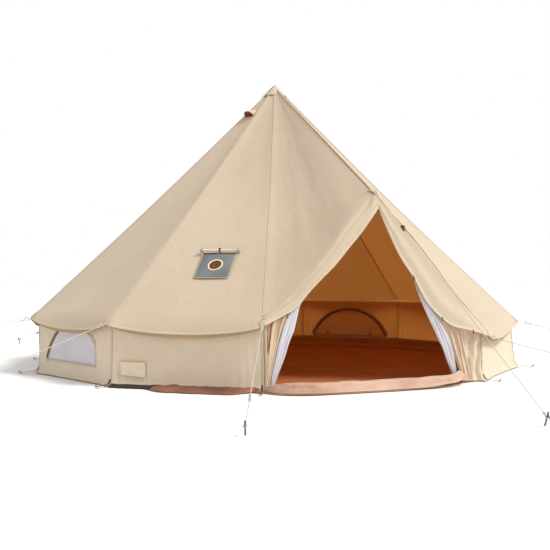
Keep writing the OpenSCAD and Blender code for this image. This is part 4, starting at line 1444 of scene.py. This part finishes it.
loops = Bin()
for k in range(CORNERS):
    out = unit(corner(k, 1, 0))
    foot = wall_point(min(k, CORNERS - 2), np.array([0.0 if k < CORNERS - 1 else 1.0]), np.array([0.03]))[0]
    peg_at = corner(k, WALL_R + 0.172, 0.014)
    s_dir = unit(np.cross(out, (0, 0, 1)))
    route = [foot + np.array([0, 0, 0.03]) - out * 0.006, foot + out * 0.012,
             foot + out * 0.05 - np.array([0, 0, 0.012]), peg_at - out * 0.02, peg_at]
    path = spline(route, 22)
    half = np.concatenate([np.full(15, 0.009), np.linspace(0.009, 0.0075, 7)])
    rows = np.stack([path - s_dir * half[:, None], path, path + s_dir * half[:, None]], 1)
    loops.grid(rows, 0)
loop_obj = loops.build("wall_loop_webbing", [dark_webbing.mat], slot="webbing", thick=0.002, offset=0.0)
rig.replaces(loop_obj, "wall_peg_loops")

for n_ in ("centre_pole_bottom", "centre_pole_middle", "centre_pole_top"):
    dress(n_, steel_pole)
# the door poles in their sleeve, dark olive-brown as painted shade
for n_ in ("door_pole_left", "door_pole_right"):
    dress(n_, pole_sleeve_shade_look.mat)
for n_ in ("pole_feet", "door_pole_joint"):
    dress(n_, black_plastic)
dress("guy_rings", ring_steel)
dress("guy_pegs", peg_steel)
dress("wall_pegs", peg_steel)
for i in range(1, 5):
    dress(f"zip_slider_{i}", zip_brass)
for i in range(1, 12):
    dress(f"runner_{i}", runner_alu)
dress("runner_12", runner_brown)

# ---- floor, world and lights ----
ground = Bin()
a = np.linspace(0, TAU, 64, endpoint=False)
rings = [[(r * math.cos(q), r * math.sin(q), -0.004) for q in a] for r in (0.01, 8.0, 60.0)]
ground.grid(np.array(rings), 0, wrap=True)
floor_look = Look("floor", rough=0.9)
floor_look.colour(floor_look.mix(floor_look.noise(0.5, 2.0), (0.90, 0.90, 0.895), (0.93, 0.93, 0.925)))
studio_floor = ground.build("studio_floor", [floor_look.mat])
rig.stage(studio_floor)

SKY_STRENGTH = 0.72
SUN_STRENGTH, SUN_SOFTNESS, SUN_WAY = 2.75, math.radians(22), Vector((-0.54, 0.60, -0.86))
world = bpy.data.worlds.new("studio")
world.use_nodes = True
wn, wl = world.node_tree.nodes, world.node_tree.links
# The camera sees plain white, and the light on the tent is a little weaker than that
kinds = ("Background", "Background", "LightPath", "MixShader")
soft, plain, seen, pick = (wn.new("ShaderNode" + kind) for kind in kinds)
soft.inputs["Color"].default_value = (0.98, 0.99, 1.0, 1)
soft.inputs["Strength"].default_value = SKY_STRENGTH
plain.inputs["Color"].default_value = (1, 1, 1, 1)
wl.new(seen.outputs["Is Camera Ray"], pick.inputs[0])
wl.new(soft.outputs[0], pick.inputs[1])
wl.new(plain.outputs[0], pick.inputs[2])
wl.new(pick.outputs[0], wn["World Output"].inputs["Surface"])
scene.world = world
scene.view_settings.view_transform = "Standard"


key_data = bpy.data.lights.new("key", "SUN")
key_data.energy, key_data.angle = SUN_STRENGTH, SUN_SOFTNESS
key_data.color = (1.0, 0.985, 0.95)
key = bpy.data.objects.new("key", key_data)
scene.collection.objects.link(key)
key.rotation_euler = SUN_WAY.to_track_quat("-Z", "Y").to_euler()

with open("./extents.json", "w") as handle:
    json.dump({"cad": cad_bounds, "visual": [list(v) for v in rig.bounds()]}, handle)
